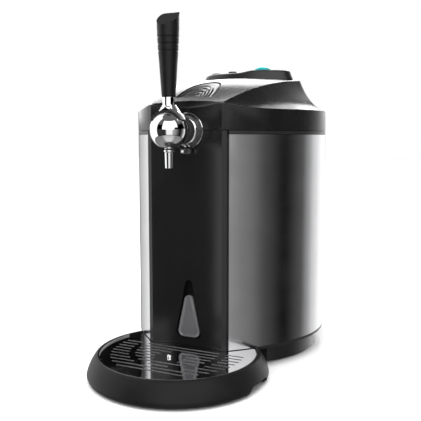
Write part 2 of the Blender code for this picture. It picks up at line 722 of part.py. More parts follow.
def make_console():
    rings = []
    profile = [(0.985, 381.0), (1.0, 392.0), (1.0, CONSOLE_RIM - 1.5), (0.985, CONSOLE_RIM)]
    for f, z in profile + [(0.9, 400.4), (0.6, 401.6), (0.15, 402.0)]:
        ring = []
        for x, y in console_outline(0.0):
            lift = 3.2 * smooth_step((x + 5.0) / 30.0) * smooth_step((z - 396.0) / 4.0)
            ring.append((x * f, CONSOLE_Y + (y - CONSOLE_Y) * f, z + lift))
        rings.append(ring)
    console = place("console", loft(rings), BLACK_SATIN, LID_PIVOT)
    inside = [(x * 0.95, CONSOLE_Y + (y - CONSOLE_Y) * 0.9) for x, y in console_outline(0.0)]
    cut(console, slab([inside], 370.0, 396.5))
    for x, y, r, _, _ in BUTTONS.values():
        cut(console, rod((x, y, 380), (x, y, 420), r + GAP, 20))
    board = place("control_board", block((-46, 44, 384), (46, 78, 385.6)), GREEN, LID_PIVOT)
    join(board, blocks([((-20, 62, 385), (0, 74, 389)), ((4, 48, 385), (12, 70, 388))]))
    looks = {"power_button": TEAL, "mode_button": BLACK_GLOSS, "light_button": GREY}
    for name, (x, y, r, top, dome) in BUTTONS.items():
        pivot = empty(name + "_slide", (x, y, 392), LID_PIVOT)
        profile = [(0, top), (r * 0.4, top - 0.12 * dome), (r * 0.75, top - 0.45 * dome)]
        profile += [(r * 0.95, top - dome), (r, top - dome - 0.8)]
        profile += [(r, 395.0), (r + 1.6, 395.0), (r + 1.6, 392.5), (0, 392.5)]
        profile = [(a, h - 392.0) for a, h in profile]
        turned(name, profile, (x, y, 392.0), looks[name], pivot, steps=20)


# ---------------------------------------------------------------- tap


def make_tap():
    def from_ball(y_back, z_up=0.0, x=0.0):
        return BALL + Vector((x, y_back, z_up))

    collar = [(12.3, 13.4), (17.2, 13.4), (18.6, 12.0), (20.6, 6.5), (21.9, 2.4), (22.8, 1.4)]
    collar += [(22.8, 0.0), (12.3, 0.0)]
    turned("tap_collar", collar, (0, -146.4, BALL.z), CHROME, along="-Y", steps=36)
    ring = [(12.3, 9.0), (15.0, 9.0), (16.8, 7.4), (16.0, 4.6), (17.4, 2.2), (17.4, 0.0), (12.3, 0.0)]
    turned("collar_ring", ring, (0, -160.2, BALL.z), RUBBER, along="-Y", steps=28)

    body = place("tap_body", ball(BALL, BALL_R, 28, 14), CHROME, sharp=50.0)
    join(body, rod((0, -182, BALL.z), (0, -126.9, BALL.z), NECK_R, 24))
    lean, front = math.radians(STEM_LEAN), math.radians(LEVER_TRAVEL - STEM_LEAN)
    half = 3.6
    back_ray = Vector((math.sin(lean), math.cos(lean)))
    front_ray = Vector((-math.sin(front), math.cos(front)))
    back_side = Vector((back_ray.y, -back_ray.x)) * half
    front_side = Vector((-front_ray.y, front_ray.x)) * half
    fan = [back_side, back_side + 30 * back_ray, front_side + 30 * front_ray, front_side]
    fan = [(BALL.y + p.x, BALL.z + p.y) for p in fan]
    cut(body, slab([fan], -half, half, "YZ"))
    cut(body, rod(from_ball(0, 0, -13), from_ball(0, 0, 13), 6.0, 16))
    axle = rod(from_ball(0, 0, -12.4), from_ball(0, 0, 12.4), 5.6, 16)
    spindle = place("valve_spindle", axle, ZINC, LEVER_PIVOT)
    reach = Vector((0.0, math.sin(lean), math.cos(lean)))
    join(spindle, rod(BALL, BALL + (BALL_R + 0.1) * reach, 3.0, 16))

    spout = [(0, 22.3), (4.9, 22.3), (5.65, 21.3), (5.65, 20.0), (4.6, 18.8), (4.5, 0.0)]
    spout += [(3.0, 0.0), (3.0, 17.2), (0, 17.2)]
    turned("tap_spout", spout, (0, BALL.y, 266.0), CHROME, steps=28)
    nut = rod((0, -134.0, BALL.z), (0, -127.2, BALL.z), 15.0, 6)
    cut(place("shank_nut", nut, ZINC), rod((0, -140, BALL.z), (0, -120, BALL.z), NECK_R + 0.3, 20))
    barb = [(0, 20.0), (3.4, 20.0), (5.0, 15.0), (3.6, 15.0), (5.0, 9.0), (4.0, 9.0)]
    barb += [(4.0, 3.0), (9.0, 3.0), (9.0, 0.0), (0, 0.0)]
    turned("line_connector", barb, (0, -126.4, BALL.z), CHROME, along="+Y", steps=20)

    button = slab([rounded_box(-6.8, 282.2, 6.8, 288.4, 1.2, 4)], -153.8, -148.9, "XZ")
    catch = place("tap_catch", button, CHROME, CATCH_SLIDE)
    cut(catch, slab([rounded_box(-5.2, 283.6, 5.2, 287.2, 0.8, 3)], -170.0, -150.6, "XZ"))
    join(catch, block((-3.2, -149.5, 283.3), (3.2, -140.4, 287.2)))


def make_lever():
    hood = place("lever_hood", ball(BALL, BALL_R + HOOD_WALL, 24, 14), CHROME, LEVER_PIVOT, 50.0)
    flare = rod(BALL + Vector((0, 2, 17)), BALL + Vector((0, 1, 31)), 17.0, 24, 7.4)
    combine(hood, place("add_flare", flare), "UNION")
    keep = block(BALL + Vector((-30, -9, 12.5)), BALL + Vector((30, 18, 30)))
    combine(hood, place("keep_hood", keep), "INTERSECT")
    join(hood, rod(BALL + Vector((0, 0, 24)), BALL + Vector((0, 0, 39.3)), 7.15, 24))
    cut(hood, ball(BALL, BALL_R + 0.6, 24, 14))

    low, high = HANDLE_LOW, HANDLE_HIGH
    profile = [(0, high + 4), (13.6, high + 4), (13.5, 425.0)]
    profile += [(13.1, 422.4), (12.3, 421.6), (12.3, 420.4), (13.0, 419.6)]
    profile += [(12.9, 414.4), (12.1, 413.6), (12.1, 412.4), (12.7, 411.6)]
    profile += [(12.6, 406.4), (11.7, 405.6), (11.7, 404.4), (12.1, 403.4)]
    profile += [(11.1, 392.0), (9.9, 374.0), (8.7, 357.0), (8.5, low + 1.0), (8.0, low), (0, low)]
    handle = turned("tap_handle", profile, (0, BALL.y, 0), BLACK_SATIN, LEVER_PIVOT, steps=24)
    slope = block((-40, -40, 0), (40, 60, 40))
    tilt = Matrix.Rotation(math.radians(38), 4, "X")
    slope.transform(Matrix.Translation(Vector((0, BALL.y + 8.0, high - 1.0)) * MM) @ tilt)
    cut(handle, slope, block((-40, BALL.y - 40, high), (40, BALL.y + 40, high + 30)))


# ---------------------------------------------------------------- drip tray


def plate_outline(radius, clear):
    """A circle about the plate's centre, stopped short of the body's front and flanks."""
    side = right_side(-clear, 16, 4)
    flank = [p for p in side if math.hypot(p[0], p[1] - PLATE_Y) < radius]
    last = flank[-1]
    start = math.degrees(math.atan2(last[1] - PLATE_Y, last[0]))
    outline = arc((0.0, PLATE_Y), radius, start, -180.0 - start, 36)
    nose = [(FACE_X + 0.4, FACE_Y - clear), (CORNER[0] + 0.2, FACE_Y + 1.5)]
    front = mirrored(nose) + face_line(FACE_X - 1, -clear, 9) + nose
    return outline + mirrored(flank) + front + flank


def slot_spans(y):
    """Where one row of slots runs: cut short by the rim, by a ring and by the disc under the spout."""
    def half_chord(centre_y, radius):
        return math.sqrt(max(0.0, radius**2 - (y - centre_y) ** 2))

    rim = half_chord(-175.5, 86.0)
    ring_out = half_chord(-175.5, 62.4)
    ring_in = half_chord(-175.5, 54.6)
    middle = half_chord(STUD_Y, 19.5)
    spans = [(ring_out, rim)] if ring_out > 0 else [(-rim, rim)]
    if ring_in > 0:
        spans += [(middle, ring_in)] if middle > 0 else [(-ring_in, ring_in)]
    both = []
    for a, b in spans:
        both += [(a, b)] if a < 0 else [(a, b), (-b, -a)]
    return [(a, b) for a, b in both if b - a > 9.0]


def make_tray():
    outer = [(0, LIP_TOP), (102.6, LIP_TOP), (104.4, LIP_TOP - 0.6), (106.4, 29.0)]
    outer += [(111.0, 21.5), (114.4, 13.5), (TRAY_R, 5.5), (115.4, 1.6), (112.6, 0.0), (0, 0.0)]
    tray = turned("drip_tray", outer, (0, TRAY_Y, 0), BLACK_SATIN, TRAY_SLIDE, steps=48)
    cut(tray, block((-150, PLINTH_FRONT - 2.0, -5), (150, 60, 50)))
    angle = math.degrees(math.acos((PLINTH_FRONT - 5.0 - TRAY_Y) / 98.0))
    basin = arc((0, TRAY_Y), 98.0, 90 + angle, 450 - angle, 40)
    cut(tray, slab([basin], 3.0, 60.0))
    cut(tray, slab([plate_outline(PLATE_R + 0.5, 0.4)], 27.0, 60.0))
    cut(tray, slab([body_plan(-1.0, -1.0)], FLOOR_Z - 1.0, 60.0))
    for s in (-1, 1):
        scoop = hull([(SCOOP_Y - 15.0, 0, 11.0), (SCOOP_Y + 15.0, 0, 11.0)])
        low, high = sorted((s * 99.8, s * 130.0))
        cut(tray, slab([scoop], low, high, "YZ"))


def make_plate():
    outline = plate_outline(PLATE_R - 0.6, 1.2)
    plate = place("drip_plate", slab([outline], 28.4, PLATE_TOP), MIRROR_STEEL, PLATE_LIFT)
    slots = []
    for row in range(10):
        y = -160.5 - SLOT_PITCH * row
        for a, b in slot_spans(y):
            r = SLOT_WIDTH / 2
            slots.append(arc((b - r, y), r, -90, 90, 3) + arc((a + r, y), r, 90, 270, 3))
    tool = place("cut_slots", slab(slots, 20.0, 40.0))
    combine(plate, tool)
    start = LIP_ANGLE
    lip = arc((0, PLATE_Y), PLATE_R, start, -180 - start, 40)
    lip += arc((0, PLATE_Y), PLATE_R - 1.8, -180 - start, start, 40)
    join(plate, slab([lip], 27.4, LIP_TOP))
    cut(plate, rod((0, STUD_Y, 20), (0, STUD_Y, 40), 2.3, 16))
    stud = [(0, 4.2), (1.6, 4.0), (2.8, 2.8), (3.2, 1.0), (3.2, 0.3), (1.9, 0.3), (1.9, -3.0), (0, -3.0)]
    turned("plate_stud", stud, (0, STUD_Y, PLATE_TOP), CHROME, PLATE_LIFT, steps=16)


make_base()
make_shell()
make_top_deck()
make_front()
make_chamber()
make_cooler()
make_rear()
make_hinge()
make_lid()
make_release_pad()
make_console()
make_tap()
make_lever()
make_tray()
make_plate()
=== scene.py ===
import json
import math

import bmesh
import bpy
from mathutils import Matrix, Vector


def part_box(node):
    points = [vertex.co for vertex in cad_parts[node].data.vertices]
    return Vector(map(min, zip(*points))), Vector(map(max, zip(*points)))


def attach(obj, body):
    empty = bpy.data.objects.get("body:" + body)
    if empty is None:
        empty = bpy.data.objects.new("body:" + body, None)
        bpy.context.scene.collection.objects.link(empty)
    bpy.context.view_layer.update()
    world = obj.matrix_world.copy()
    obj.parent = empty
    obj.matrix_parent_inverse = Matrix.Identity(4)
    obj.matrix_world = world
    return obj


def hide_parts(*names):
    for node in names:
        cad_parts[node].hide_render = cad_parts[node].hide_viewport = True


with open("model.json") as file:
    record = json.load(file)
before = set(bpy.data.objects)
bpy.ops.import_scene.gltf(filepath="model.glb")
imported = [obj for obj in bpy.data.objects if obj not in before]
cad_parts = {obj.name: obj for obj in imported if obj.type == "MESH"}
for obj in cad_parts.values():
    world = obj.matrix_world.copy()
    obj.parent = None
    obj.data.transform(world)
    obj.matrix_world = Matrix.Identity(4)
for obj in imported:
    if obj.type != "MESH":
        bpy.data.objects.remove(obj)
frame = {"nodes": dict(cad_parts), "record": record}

# Countertop keg cooler: fine surfaces, finishes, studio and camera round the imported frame.
# Outlines are in millimetres in the machine's frame, whose origin is on the floor under the
# keg's axis, and piece() turns them into metres in the row's frame.

MM = 0.001
RECORD = frame["record"]
BODY_OF = {n: body for body, nodes in RECORD["behaviour"]["bodies"].items() for n in nodes}
SLOT_OF = {row["node"]: row["material_slot"] for row in RECORD["subparts"]}
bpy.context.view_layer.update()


def low(node):
    """Lowest corner of a CAD node, in millimetres in the machine's frame."""
    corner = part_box(node)[0]
    return Vector((corner.x, corner.y - AXIS, corner.z)) / MM


def high(node):
    """Highest corner of a CAD node, likewise."""
    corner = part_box(node)[1]
    return Vector((corner.x, corner.y - AXIS, corner.z)) / MM


# The keg's axis is the middle of the chamber's liner.
AXIS = (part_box("chamber_liner")[0].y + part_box("chamber_liner")[1].y) / 2
BODY_R = 136.0
FLANK_START = 23.0  # degrees in front of the side where the flatter flank begins
CORNER = (57.8, -146.0)
FACE_X = 50.3
FACE_Y = low("lid_shell").y
FACE_HOLLOW = 7.0
WRAP_LOW, WRAP_HIGH = low("steel_wrap").z, high("steel_wrap").z
DECK_LOW, DECK_HIGH = low("top_deck").z, high("top_deck").z
LID_LOW = low("lid_shell").z
KEG_R = 90.0
SKIRT_HIGH = 339.4
FRONT_HIGH = 345.4
LID_WALL = 3.0
LID_SIDE = (94.5, 28.0)
LID_BACK_R = 98.6
CONSOLE_Y = (low("console").y + high("console").y) / 2
CONSOLE_A = high("console").x
CONSOLE_B = high("console").y - CONSOLE_Y
PAD_FRONT, PAD_BACK, PAD_HALF = -128.0, -66.0, 25.0
BALL = Vector((0.0, -196.0, 311.7))
BALL_R = 23.0
STUD_Y = -198.1
SCOOP_Y = -182.0
NECK_R = 11.8
TRAY_Y, TRAY_R = -174.8, 116.2
PLATE_Y, PLATE_R, PLATE_TOP = -176.5, 100.7, 30.0
LIP_TOP = high("drip_plate").z
PLINTH_R, PLINTH_FRONT = 124.0, -86.0
HOUSING_FRONT, HOUSING_BACK, HOUSING_WALL, HOUSING_CORNER = 60.0, 146.0, 2.5, 20.0
FAN_Z = 112.0
LOUVRES, LOUVRE_HIGH = 9, 3.4
SLOT_ROWS, SLOT_FIRST_Y, SLOT_PITCH, SLOT_R = 10, -160.5, 9.7, 1.6
HANDLE_LOW, HANDLE_TOP = 351.3, 452.0
KEY_BASE = 392.5
# Nodes that keep the CAD shape, by how far their edges are eased
EASED_WIDE = ("hinge_bracket", "hinge_leaf", "power_inlet")
EASED_WIDE += ("power_board", "control_board", "fan_frame")
EASED_NARROW = ("heat_sink", "cold_block", "peltier_module")
EASED_NARROW += ("indicator_lamp", "fan_rotor", "shank_nut")
# Each key's place, radius, top and how far the top domes
KEYS = (
    ("power_button", 27.0, 54.0, 12.5, 410.0, 3.2),
    ("mode_button", -22.0, 54.0, 6.5, 405.4, 0.8),
    ("light_button", -49.0, 54.0, 8.0, 404.8, 2.2),
)


# ---------------------------------------------------------------- mesh helpers


def to_mesh(bm):
    bmesh.ops.recalc_face_normals(bm, faces=bm.faces)
    mesh = bpy.data.meshes.new("shape")
    bm.to_mesh(mesh)
    bm.free()
    return mesh


def blocks(*boxes):
    bm = bmesh.new()
    for a, b in boxes:
        a, b = Vector(a), Vector(b)
        size = Matrix.Diagonal((*(b - a), 1.0))
        bmesh.ops.create_cube(bm, size=1.0, matrix=Matrix.Translation((a + b) / 2) @ size)
    return to_mesh(bm)


def rod(start, end, radius, segments=64, end_radius=None):
    start, end = Vector(start), Vector(end)
    turn = (end - start).to_track_quat("Z", "Y").to_matrix().to_4x4()
    bm = bmesh.new()
    bmesh.ops.create_cone(
        bm,
        cap_ends=True,
        segments=segments,
        radius1=radius,
        radius2=radius if end_radius is None else end_radius,
        depth=(end - start).length,
        matrix=Matrix.Translation((start + end) / 2) @ turn,
    )
    return to_mesh(bm)


def ball(centre, radius, segments=96, rings=48):
    bm = bmesh.new()
    spot = Matrix.Translation(centre)
    bmesh.ops.create_uvsphere(bm, u_segments=segments, v_segments=rings, radius=radius, matrix=spot)
    return to_mesh(bm)


def prism(outlines, bottom, top, plane="XY"):
    """Flat outlines, the inner ones holes, thickened between two heights on the third axis."""
    curve = bpy.data.curves.new("outline", "CURVE")
    curve.dimensions = "2D"
    curve.fill_mode = "BOTH"
    curve.extrude = (top - bottom) / 2
    for points in outlines:
        spline = curve.splines.new("POLY")
        spline.points.add(len(points) - 1)
        for point, (u, v) in zip(spline.points, points):
            point.co = (u, v, 0.0, 1.0)
        spline.use_cyclic_u = True
    helper = bpy.data.objects.new("outline", curve)
    bpy.context.scene.collection.objects.link(helper)
    graph = bpy.context.evaluated_depsgraph_get()
    mesh = bpy.data.meshes.new_from_object(helper.evaluated_get(graph))
    bpy.data.objects.remove(helper, do_unlink=True)
    bpy.data.curves.remove(curve)
    order = {"XY": (0, 1, 2), "XZ": (0, 2, 1), "YZ": (2, 0, 1)}[plane]
    bm = bmesh.new()
    bm.from_mesh(mesh)
    bpy.data.meshes.remove(mesh)
    bmesh.ops.remove_doubles(bm, verts=bm.verts, dist=1e-3)
    bmesh.ops.dissolve_limit(bm, angle_limit=math.radians(0.2), verts=bm.verts, edges=bm.edges)
    for vert in bm.verts:
        local = (vert.co.x, vert.co.y, vert.co.z + (bottom + top) / 2)
        vert.co = [local[axis] for axis in order]
    return to_mesh(bm)


def skin(rings):
    """Skins closed rings of equal length and caps both ends."""
    bm = bmesh.new()
    rows = [[bm.verts.new(point) for point in ring] for ring in rings]
    for lower, upper in zip(rows, rows[1:]):
        for i in range(len(lower)):
            j = (i + 1) % len(lower)
            bm.faces.new((lower[i], lower[j], upper[j], upper[i]))
    bm.faces.new(rows[0])
    bm.faces.new(rows[-1])
    return to_mesh(bm)


def spun(profile, at, along=(0, 0, 1), steps=96):
    """A profile of (radius, height) pairs spun about an axis through a point."""
    axis = Vector(along).normalized()
    side = axis.orthogonal().normalized()
    other = axis.cross(side)
    closed = profile[0][0] > 0
    bm = bmesh.new()
    rows = []
    for r, h in profile:
        base = Vector(at) + axis * h
        if r < 1e-6:
            rows.append([bm.verts.new(base)])
            continue
        row = []
        for i in range(steps):
            a = 2 * math.pi * i / steps
            row.append(bm.verts.new(base + side * (r * math.cos(a)) + other * (r * math.sin(a))))
        rows.append(row)
    pairs = list(zip(rows, rows[1:])) + ([(rows[-1], rows[0])] if closed else [])
    for one, two in pairs:
        for i in range(steps):
            j = (i + 1) % steps
            corners = [one[i % len(one)], one[j % len(one)], two[j % len(two)], two[i % len(two)]]
            corners = list(dict.fromkeys(corners))
            if len(corners) > 2:
                bm.faces.new(corners)
    return to_mesh(bm)


def rounded(profile, radius=0.4, count=3):
    """Rounds the corners of a turned profile that aren't on its axis."""
    made = []
    last = len(profile) - 1
    for i, (r, h) in enumerate(profile):
        if r < 1e-6 or (i in (0, last) and profile[0][0] < 1e-6):
            made.append((r, h))
            continue
        here = Vector((r, h))
        before = Vector(profile[i - 1]) - here
        after = Vector(profile[(i + 1) % (last + 1)]) - here
        reach = min(radius, before.length * 0.45, after.length * 0.45)
        one, two = here + before.normalized() * reach, here + after.normalized() * reach
        for k in range(count + 1):
            t = k / count
            p = one * (1 - t) ** 2 + here * (2 * t * (1 - t)) + two * t**2
            made.append((p.x, p.y))
    return made


def carve(base, *steps):
    """Booleans on a mesh. Each step is a tool, or a tool and its operation."""
    objects = []
    for step in (base, *steps):
        mesh = step[0] if isinstance(step, tuple) else step
        objects.append(bpy.data.objects.new("carve", mesh))
        bpy.context.scene.collection.objects.link(objects[-1])
    for tool, step in zip(objects[1:], steps):
        modifier = objects[0].modifiers.new("Boolean", "BOOLEAN")
        modifier.operation = step[1] if isinstance(step, tuple) else "DIFFERENCE"
        modifier.object = tool
    graph = bpy.context.evaluated_depsgraph_get()
    made = bpy.data.meshes.new_from_object(objects[0].evaluated_get(graph))
    for helper in objects:
        mesh = helper.data
        bpy.data.objects.remove(helper, do_unlink=True)
        bpy.data.meshes.remove(mesh)
    return made


def piece(node, mesh, look=None, sharp=35.0, edge=0.0, also=(), scaled=True):
    """A visible piece in place of a CAD node, on the node's body and in its material slot."""
    if scaled:
        mesh.transform(Matrix.Translation((0.0, AXIS, 0.0)) @ Matrix.Scale(MM, 4))
    mesh.materials.clear()
    mesh.materials.append(look or LOOK[SLOT_OF[node]])
    mesh.shade_smooth()
    mesh.set_sharp_from_angle(angle=math.radians(sharp))
    obj = bpy.data.objects.new(node + "_skin", mesh)
    bpy.context.scene.collection.objects.link(obj)
    if edge:
        bevel = obj.modifiers.new("Edges", "BEVEL")
        bevel.width = edge * MM
        bevel.segments = 2
        bevel.limit_method = "ANGLE"
        bevel.angle_limit = math.radians(40)
        bevel.harden_normals = True
        bevel.use_clamp_overlap = True
    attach(obj, BODY_OF[node])
    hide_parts(node, *also)
    return obj


def refined(node, edge=0.25, look=None, sharp=30.0):
    """The CAD node's own shape with its facets merged, its edges eased and smooth shading."""
    bm = bmesh.new()
    bm.from_mesh(frame["nodes"][node].data)
    bmesh.ops.remove_doubles(bm, verts=bm.verts, dist=2e-6)
    bmesh.ops.dissolve_limit(bm, angle_limit=math.radians(0.3), verts=bm.verts, edges=bm.edges)
    return piece(node, to_mesh(bm), look, sharp, edge, scaled=False)


# ---------------------------------------------------------------- outlines


def arc(centre, radius, start, end, count):
    step = (end - start) / (count - 1)
    angles = [math.radians(start + i * step) for i in range(count)]
    return [(centre[0] + radius * math.cos(a), centre[1] + radius * math.sin(a)) for a in angles]


def circle(centre, radius, count=128):
    return arc(centre, radius, 0.0, 360.0 * (count - 1) / count, count)


def flank_arc():
    """Centre, radius and start angle of the flat arc from the front corner into the back."""
    angle = math.radians(FLANK_START)
    normal = Vector((math.cos(angle), -math.sin(angle)))
    corner = Vector(CORNER)
    shift = (corner.length_squared - BODY_R**2) / (2 * (BODY_R - corner.dot(normal)))
    centre = -shift * normal
    start = math.degrees(math.atan2(corner.y - centre.y, corner.x - centre.x))
    return centre, BODY_R + shift, start


def right_side(inset=0.0, flank_points=25, back_points=76):
    centre, radius, start = flank_arc()
    front = arc(centre, radius - inset, start, -FLANK_START, flank_points)
    back = arc((0.0, 0.0), BODY_R - inset, -FLANK_START, 90.0, back_points)
    return front + back[1:]


def face_y(x):
    radius = (FACE_X**2 + FACE_HOLLOW**2) / (2 * FACE_HOLLOW)
    return FACE_Y + FACE_HOLLOW - radius + math.sqrt(radius**2 - x**2)


def face_line(half, back, count=33):
    xs = [-half + 2 * half * i / (count - 1) for i in range(count)]
    return [(x, face_y(x) + back) for x in xs]


def mirrored(points):
    return [(-x, y) for x, y in reversed(points)]


def body_plan(inset, back):
    side = right_side(inset)
    return side + mirrored(side[:-1]) + face_line(side[0][0] - 1.3, back)


def rounded_box(x0, y0, x1, y1, radius, count=9):
    points = []
    for cx, cy, start in (
        (x1 - radius, y0 + radius, -90),
        (x1 - radius, y1 - radius, 0),
        (x0 + radius, y1 - radius, 90),
        (x0 + radius, y0 + radius, 180),
    ):
        points += arc((cx, cy), radius, start, start + 90, count)
    return points


def hull(circles, count=72):
    """The convex outline round some circles of (x, y, radius)."""
    cloud = sorted(p for x, y, r in circles for p in circle((x, y), r, count))
    chains = []
    for points in (cloud, cloud[::-1]):
        chain = []
        for p in points:
            while len(chain) > 1:
                (ax, ay), (bx, by) = chain[-2:]
                if (bx - ax) * (p[1] - ay) - (by - ay) * (p[0] - ax) > 1e-6:
                    break
                chain.pop()
            chain.append(p)
        chains += chain[:-1]
    return chains


def smooth_step(t):
    t = min(1.0, max(0.0, t))
    return t * t * (3 - 2 * t)


# ---------------------------------------------------------------- finishes


def surface(
    name,
    colour,
    rough,
    metallic=0.0,
    tint=0.25,
    rough_spread=0.06,
    grain=(1500.0, 0.02),
    stretch=(1.0, 1.0, 1.0),
    wear=0.0,
    **sockets,
):
    """A Principled finish: colour and roughness vary broadly, and a fine grain raises the surface.

    tint is how far the colour varies, grain the scale and height in millimetres of the bump, and
    wear how much exposed edges lighten. Other sockets are set as named.
    """
    made = bpy.data.materials.new(name)
    made.use_nodes = True
    tree = made.node_tree
    shader = tree.nodes["Principled BSDF"]
    shader.inputs["Metallic"].default_value = metallic
    for socket, value in sockets.items():
        shader.inputs[socket.replace("_", " ")].default_value = value

    def add(kind, **settings):
        node = tree.nodes.new(kind)
        for key, value in settings.items():
            if key in node.inputs:
                node.inputs[key].default_value = value
            else:
                setattr(node, key, value)
        return node

    coords = add("ShaderNodeTexCoord")
    broad = add("ShaderNodeTexNoise", Scale=22.0, Detail=4.0, Roughness=0.6)
    tree.links.new(coords.outputs["Object"], broad.inputs["Vector"])
    mapping = add("ShaderNodeMapping")
    mapping.inputs["Scale"].default_value = stretch
    tree.links.new(coords.outputs["Object"], mapping.inputs["Vector"])
    fine = add("ShaderNodeTexNoise", Scale=grain[0], Detail=3.0, Roughness=0.55)
    tree.links.new(mapping.outputs["Vector"], fine.inputs["Vector"])

    darker = [c * (1 - tint) for c in colour]
    lighter = [min(1.0, c * (1 + tint)) for c in colour]
    ramp = add("ShaderNodeValToRGB")
    ramp.color_ramp.elements[0].position = 0.3
    ramp.color_ramp.elements[0].color = (*darker, 1.0)
    ramp.color_ramp.elements[1].position = 0.7
    ramp.color_ramp.elements[1].color = (*lighter, 1.0)
    tree.links.new(broad.outputs["Fac"], ramp.inputs["Fac"])
    colour_out = ramp.outputs["Color"]
    if wear:
        shape = add("ShaderNodeNewGeometry")
        edges = add("ShaderNodeMapRange")
        for key, value in (("From Min", 0.53), ("From Max", 0.62), ("To Max", wear)):
            edges.inputs[key].default_value = value
        tree.links.new(shape.outputs["Pointiness"], edges.inputs["Value"])
        worn = add("ShaderNodeMix", data_type="RGBA")
        worn.inputs[7].default_value = (*[min(1.0, c * 1.8 + 0.03) for c in colour], 1.0)
        tree.links.new(edges.outputs["Result"], worn.inputs[0])
        tree.links.new(colour_out, worn.inputs[6])
        colour_out = worn.outputs[2]
    tree.links.new(colour_out, shader.inputs["Base Color"])

    level = add("ShaderNodeMapRange")
    level.inputs["From Min"].default_value = 0.25
    level.inputs["From Max"].default_value = 0.75
    level.inputs["To Min"].default_value = max(0.02, rough - rough_spread)
    level.inputs["To Max"].default_value = rough + rough_spread
    blend = add("ShaderNodeMath", operation="MULTIPLY_ADD")
    blend.inputs[1].default_value = 0.4
    tree.links.new(fine.outputs["Fac"], blend.inputs[0])
    share = add("ShaderNodeMath", operation="MULTIPLY")
    share.inputs[1].default_value = 0.6
    tree.links.new(broad.outputs["Fac"], share.inputs[0])
    tree.links.new(share.outputs["Value"], blend.inputs[2])
    tree.links.new(blend.outputs["Value"], level.inputs["Value"])
    tree.links.new(level.outputs["Result"], shader.inputs["Roughness"])

    bump = add("ShaderNodeBump")
    bump.inputs["Strength"].default_value = 1.0
    bump.inputs["Distance"].default_value = grain[1] * MM
    tree.links.new(fine.outputs["Fac"], bump.inputs["Height"])
    tree.links.new(bump.outputs["Normal"], shader.inputs["Normal"])
    return made


LOOK = {
    "gloss_black": surface(
        "Gloss_Black", (0.010, 0.010, 0.0105), 0.16, tint=0.12, grain=(700.0, 0.002)
    ),
    "satin_black": surface(
        "Satin_Black", (0.010, 0.010, 0.0105), 0.36, grain=(2600.0, 0.012), wear=0.25
    ),
    "matt_black": surface("Matt_Black", (0.014, 0.014, 0.0145), 0.6, grain=(1800.0, 0.03),
        wear=0.2),
    "rubber": surface("Rubber", (0.014, 0.014, 0.014), 0.62, tint=0.35, grain=(1200.0, 0.03)),
    "brushed_steel": surface(
        "Brushed_Steel", (0.60, 0.60, 0.61), 0.19, 1.0, 0.04, 0.04, (45.0, 0.006), (1.0, 1.0, 60.0)
    ),
    "chrome": surface("Chrome", (0.90, 0.90, 0.91), 0.045, 1.0, 0.03, 0.02, (500.0, 0.0004)),
    "mirror_steel": surface("Mirror_Steel", (0.62, 0.62, 0.63), 0.06, 1.0, 0.08, 0.03,
        (600.0, 0.0006)),
    "aluminium": surface(
        "Aluminium", (0.72, 0.73, 0.74), 0.34, 1.0, 0.06, 0.08, (60.0, 0.01), (1, 1, 30.0)
    ),
    "zinc": surface("Zinc_Plate", (0.55, 0.55, 0.54), 0.36, 1.0, 0.12, 0.1, (900.0, 0.01)),
    "foam": surface("Foam", (0.62, 0.60, 0.52), 0.9, tint=0.1, grain=(700.0, 0.25)),
    "ceramic": surface("Ceramic", (0.80, 0.80, 0.77), 0.45, tint=0.05, grain=(1500.0, 0.01)),
    "smoke_lens": surface(
        "Smoke_Lens", (0.10, 0.10, 0.105), 0.12, tint=0.1, grain=(300.0, 0.01), Coat_Weight=0.4
    ),
    # The teal cap's emission is a painted glow standing in for light seen through its translucent
    # dome.
    "teal_cap": surface(
        "Teal_Cap_Painted_Glow",
        (0.005, 0.33, 0.34),
        0.2,
        tint=0.2,
        grain=(400.0, 0.01),
        Emission_Color=(0.0, 0.55, 0.58, 1.0),
        Emission_Strength=0.04,
    ),
    "grey_cap": surface("Grey_Cap", (0.36, 0.36, 0.37), 0.3, tint=0.1, grain=(1200.0, 0.01)),
    "circuit_green": surface("Circuit_Green", (0.02, 0.14, 0.06), 0.4, tint=0.5,
        grain=(900.0, 0.05)),
}
# The lamp bezel's black plastic, made near-black with weak specular as painted shade in the
# teardrop recess round the lens.
RECESS_PAINTED_SHADE = surface(
    "Recess_Black_Painted_Shade", (0.002, 0.002, 0.002), 0.5, grain=(900.0, 0.01), Specular_IOR_Level=0.12
)
CUT_EDGE = surface("Cut_Edge", (0.62, 0.62, 0.63), 0.55, 1.0, 0.1, 0.1, (900.0, 0.02))
PANEL_BLACK = surface(
    "Panel_Black",
    (0.0085, 0.0085, 0.0088),
    0.2,
    tint=0.1,
    grain=(900.0, 0.002),
    Specular_IOR_Level=0.35,
)
HANDLE_BLACK = surface(
    "Handle_Black", (0.004, 0.004, 0.0042), 0.42, grain=(2200.0, 0.02), wear=0.15,
        Specular_IOR_Level=0.3
)
TRAY_BLACK = surface(
    "Tray_Black", (0.008, 0.008, 0.0084), 0.42, grain=(2400.0, 0.02), wear=0.2,
        Specular_IOR_Level=0.15
)
LID_BLACK = surface(
    "Lid_Black", (0.006, 0.006, 0.0063), 0.27, grain=(2600.0, 0.008), wear=0.15,
        Specular_IOR_Level=0.25
)


# ---------------------------------------------------------------- base and body


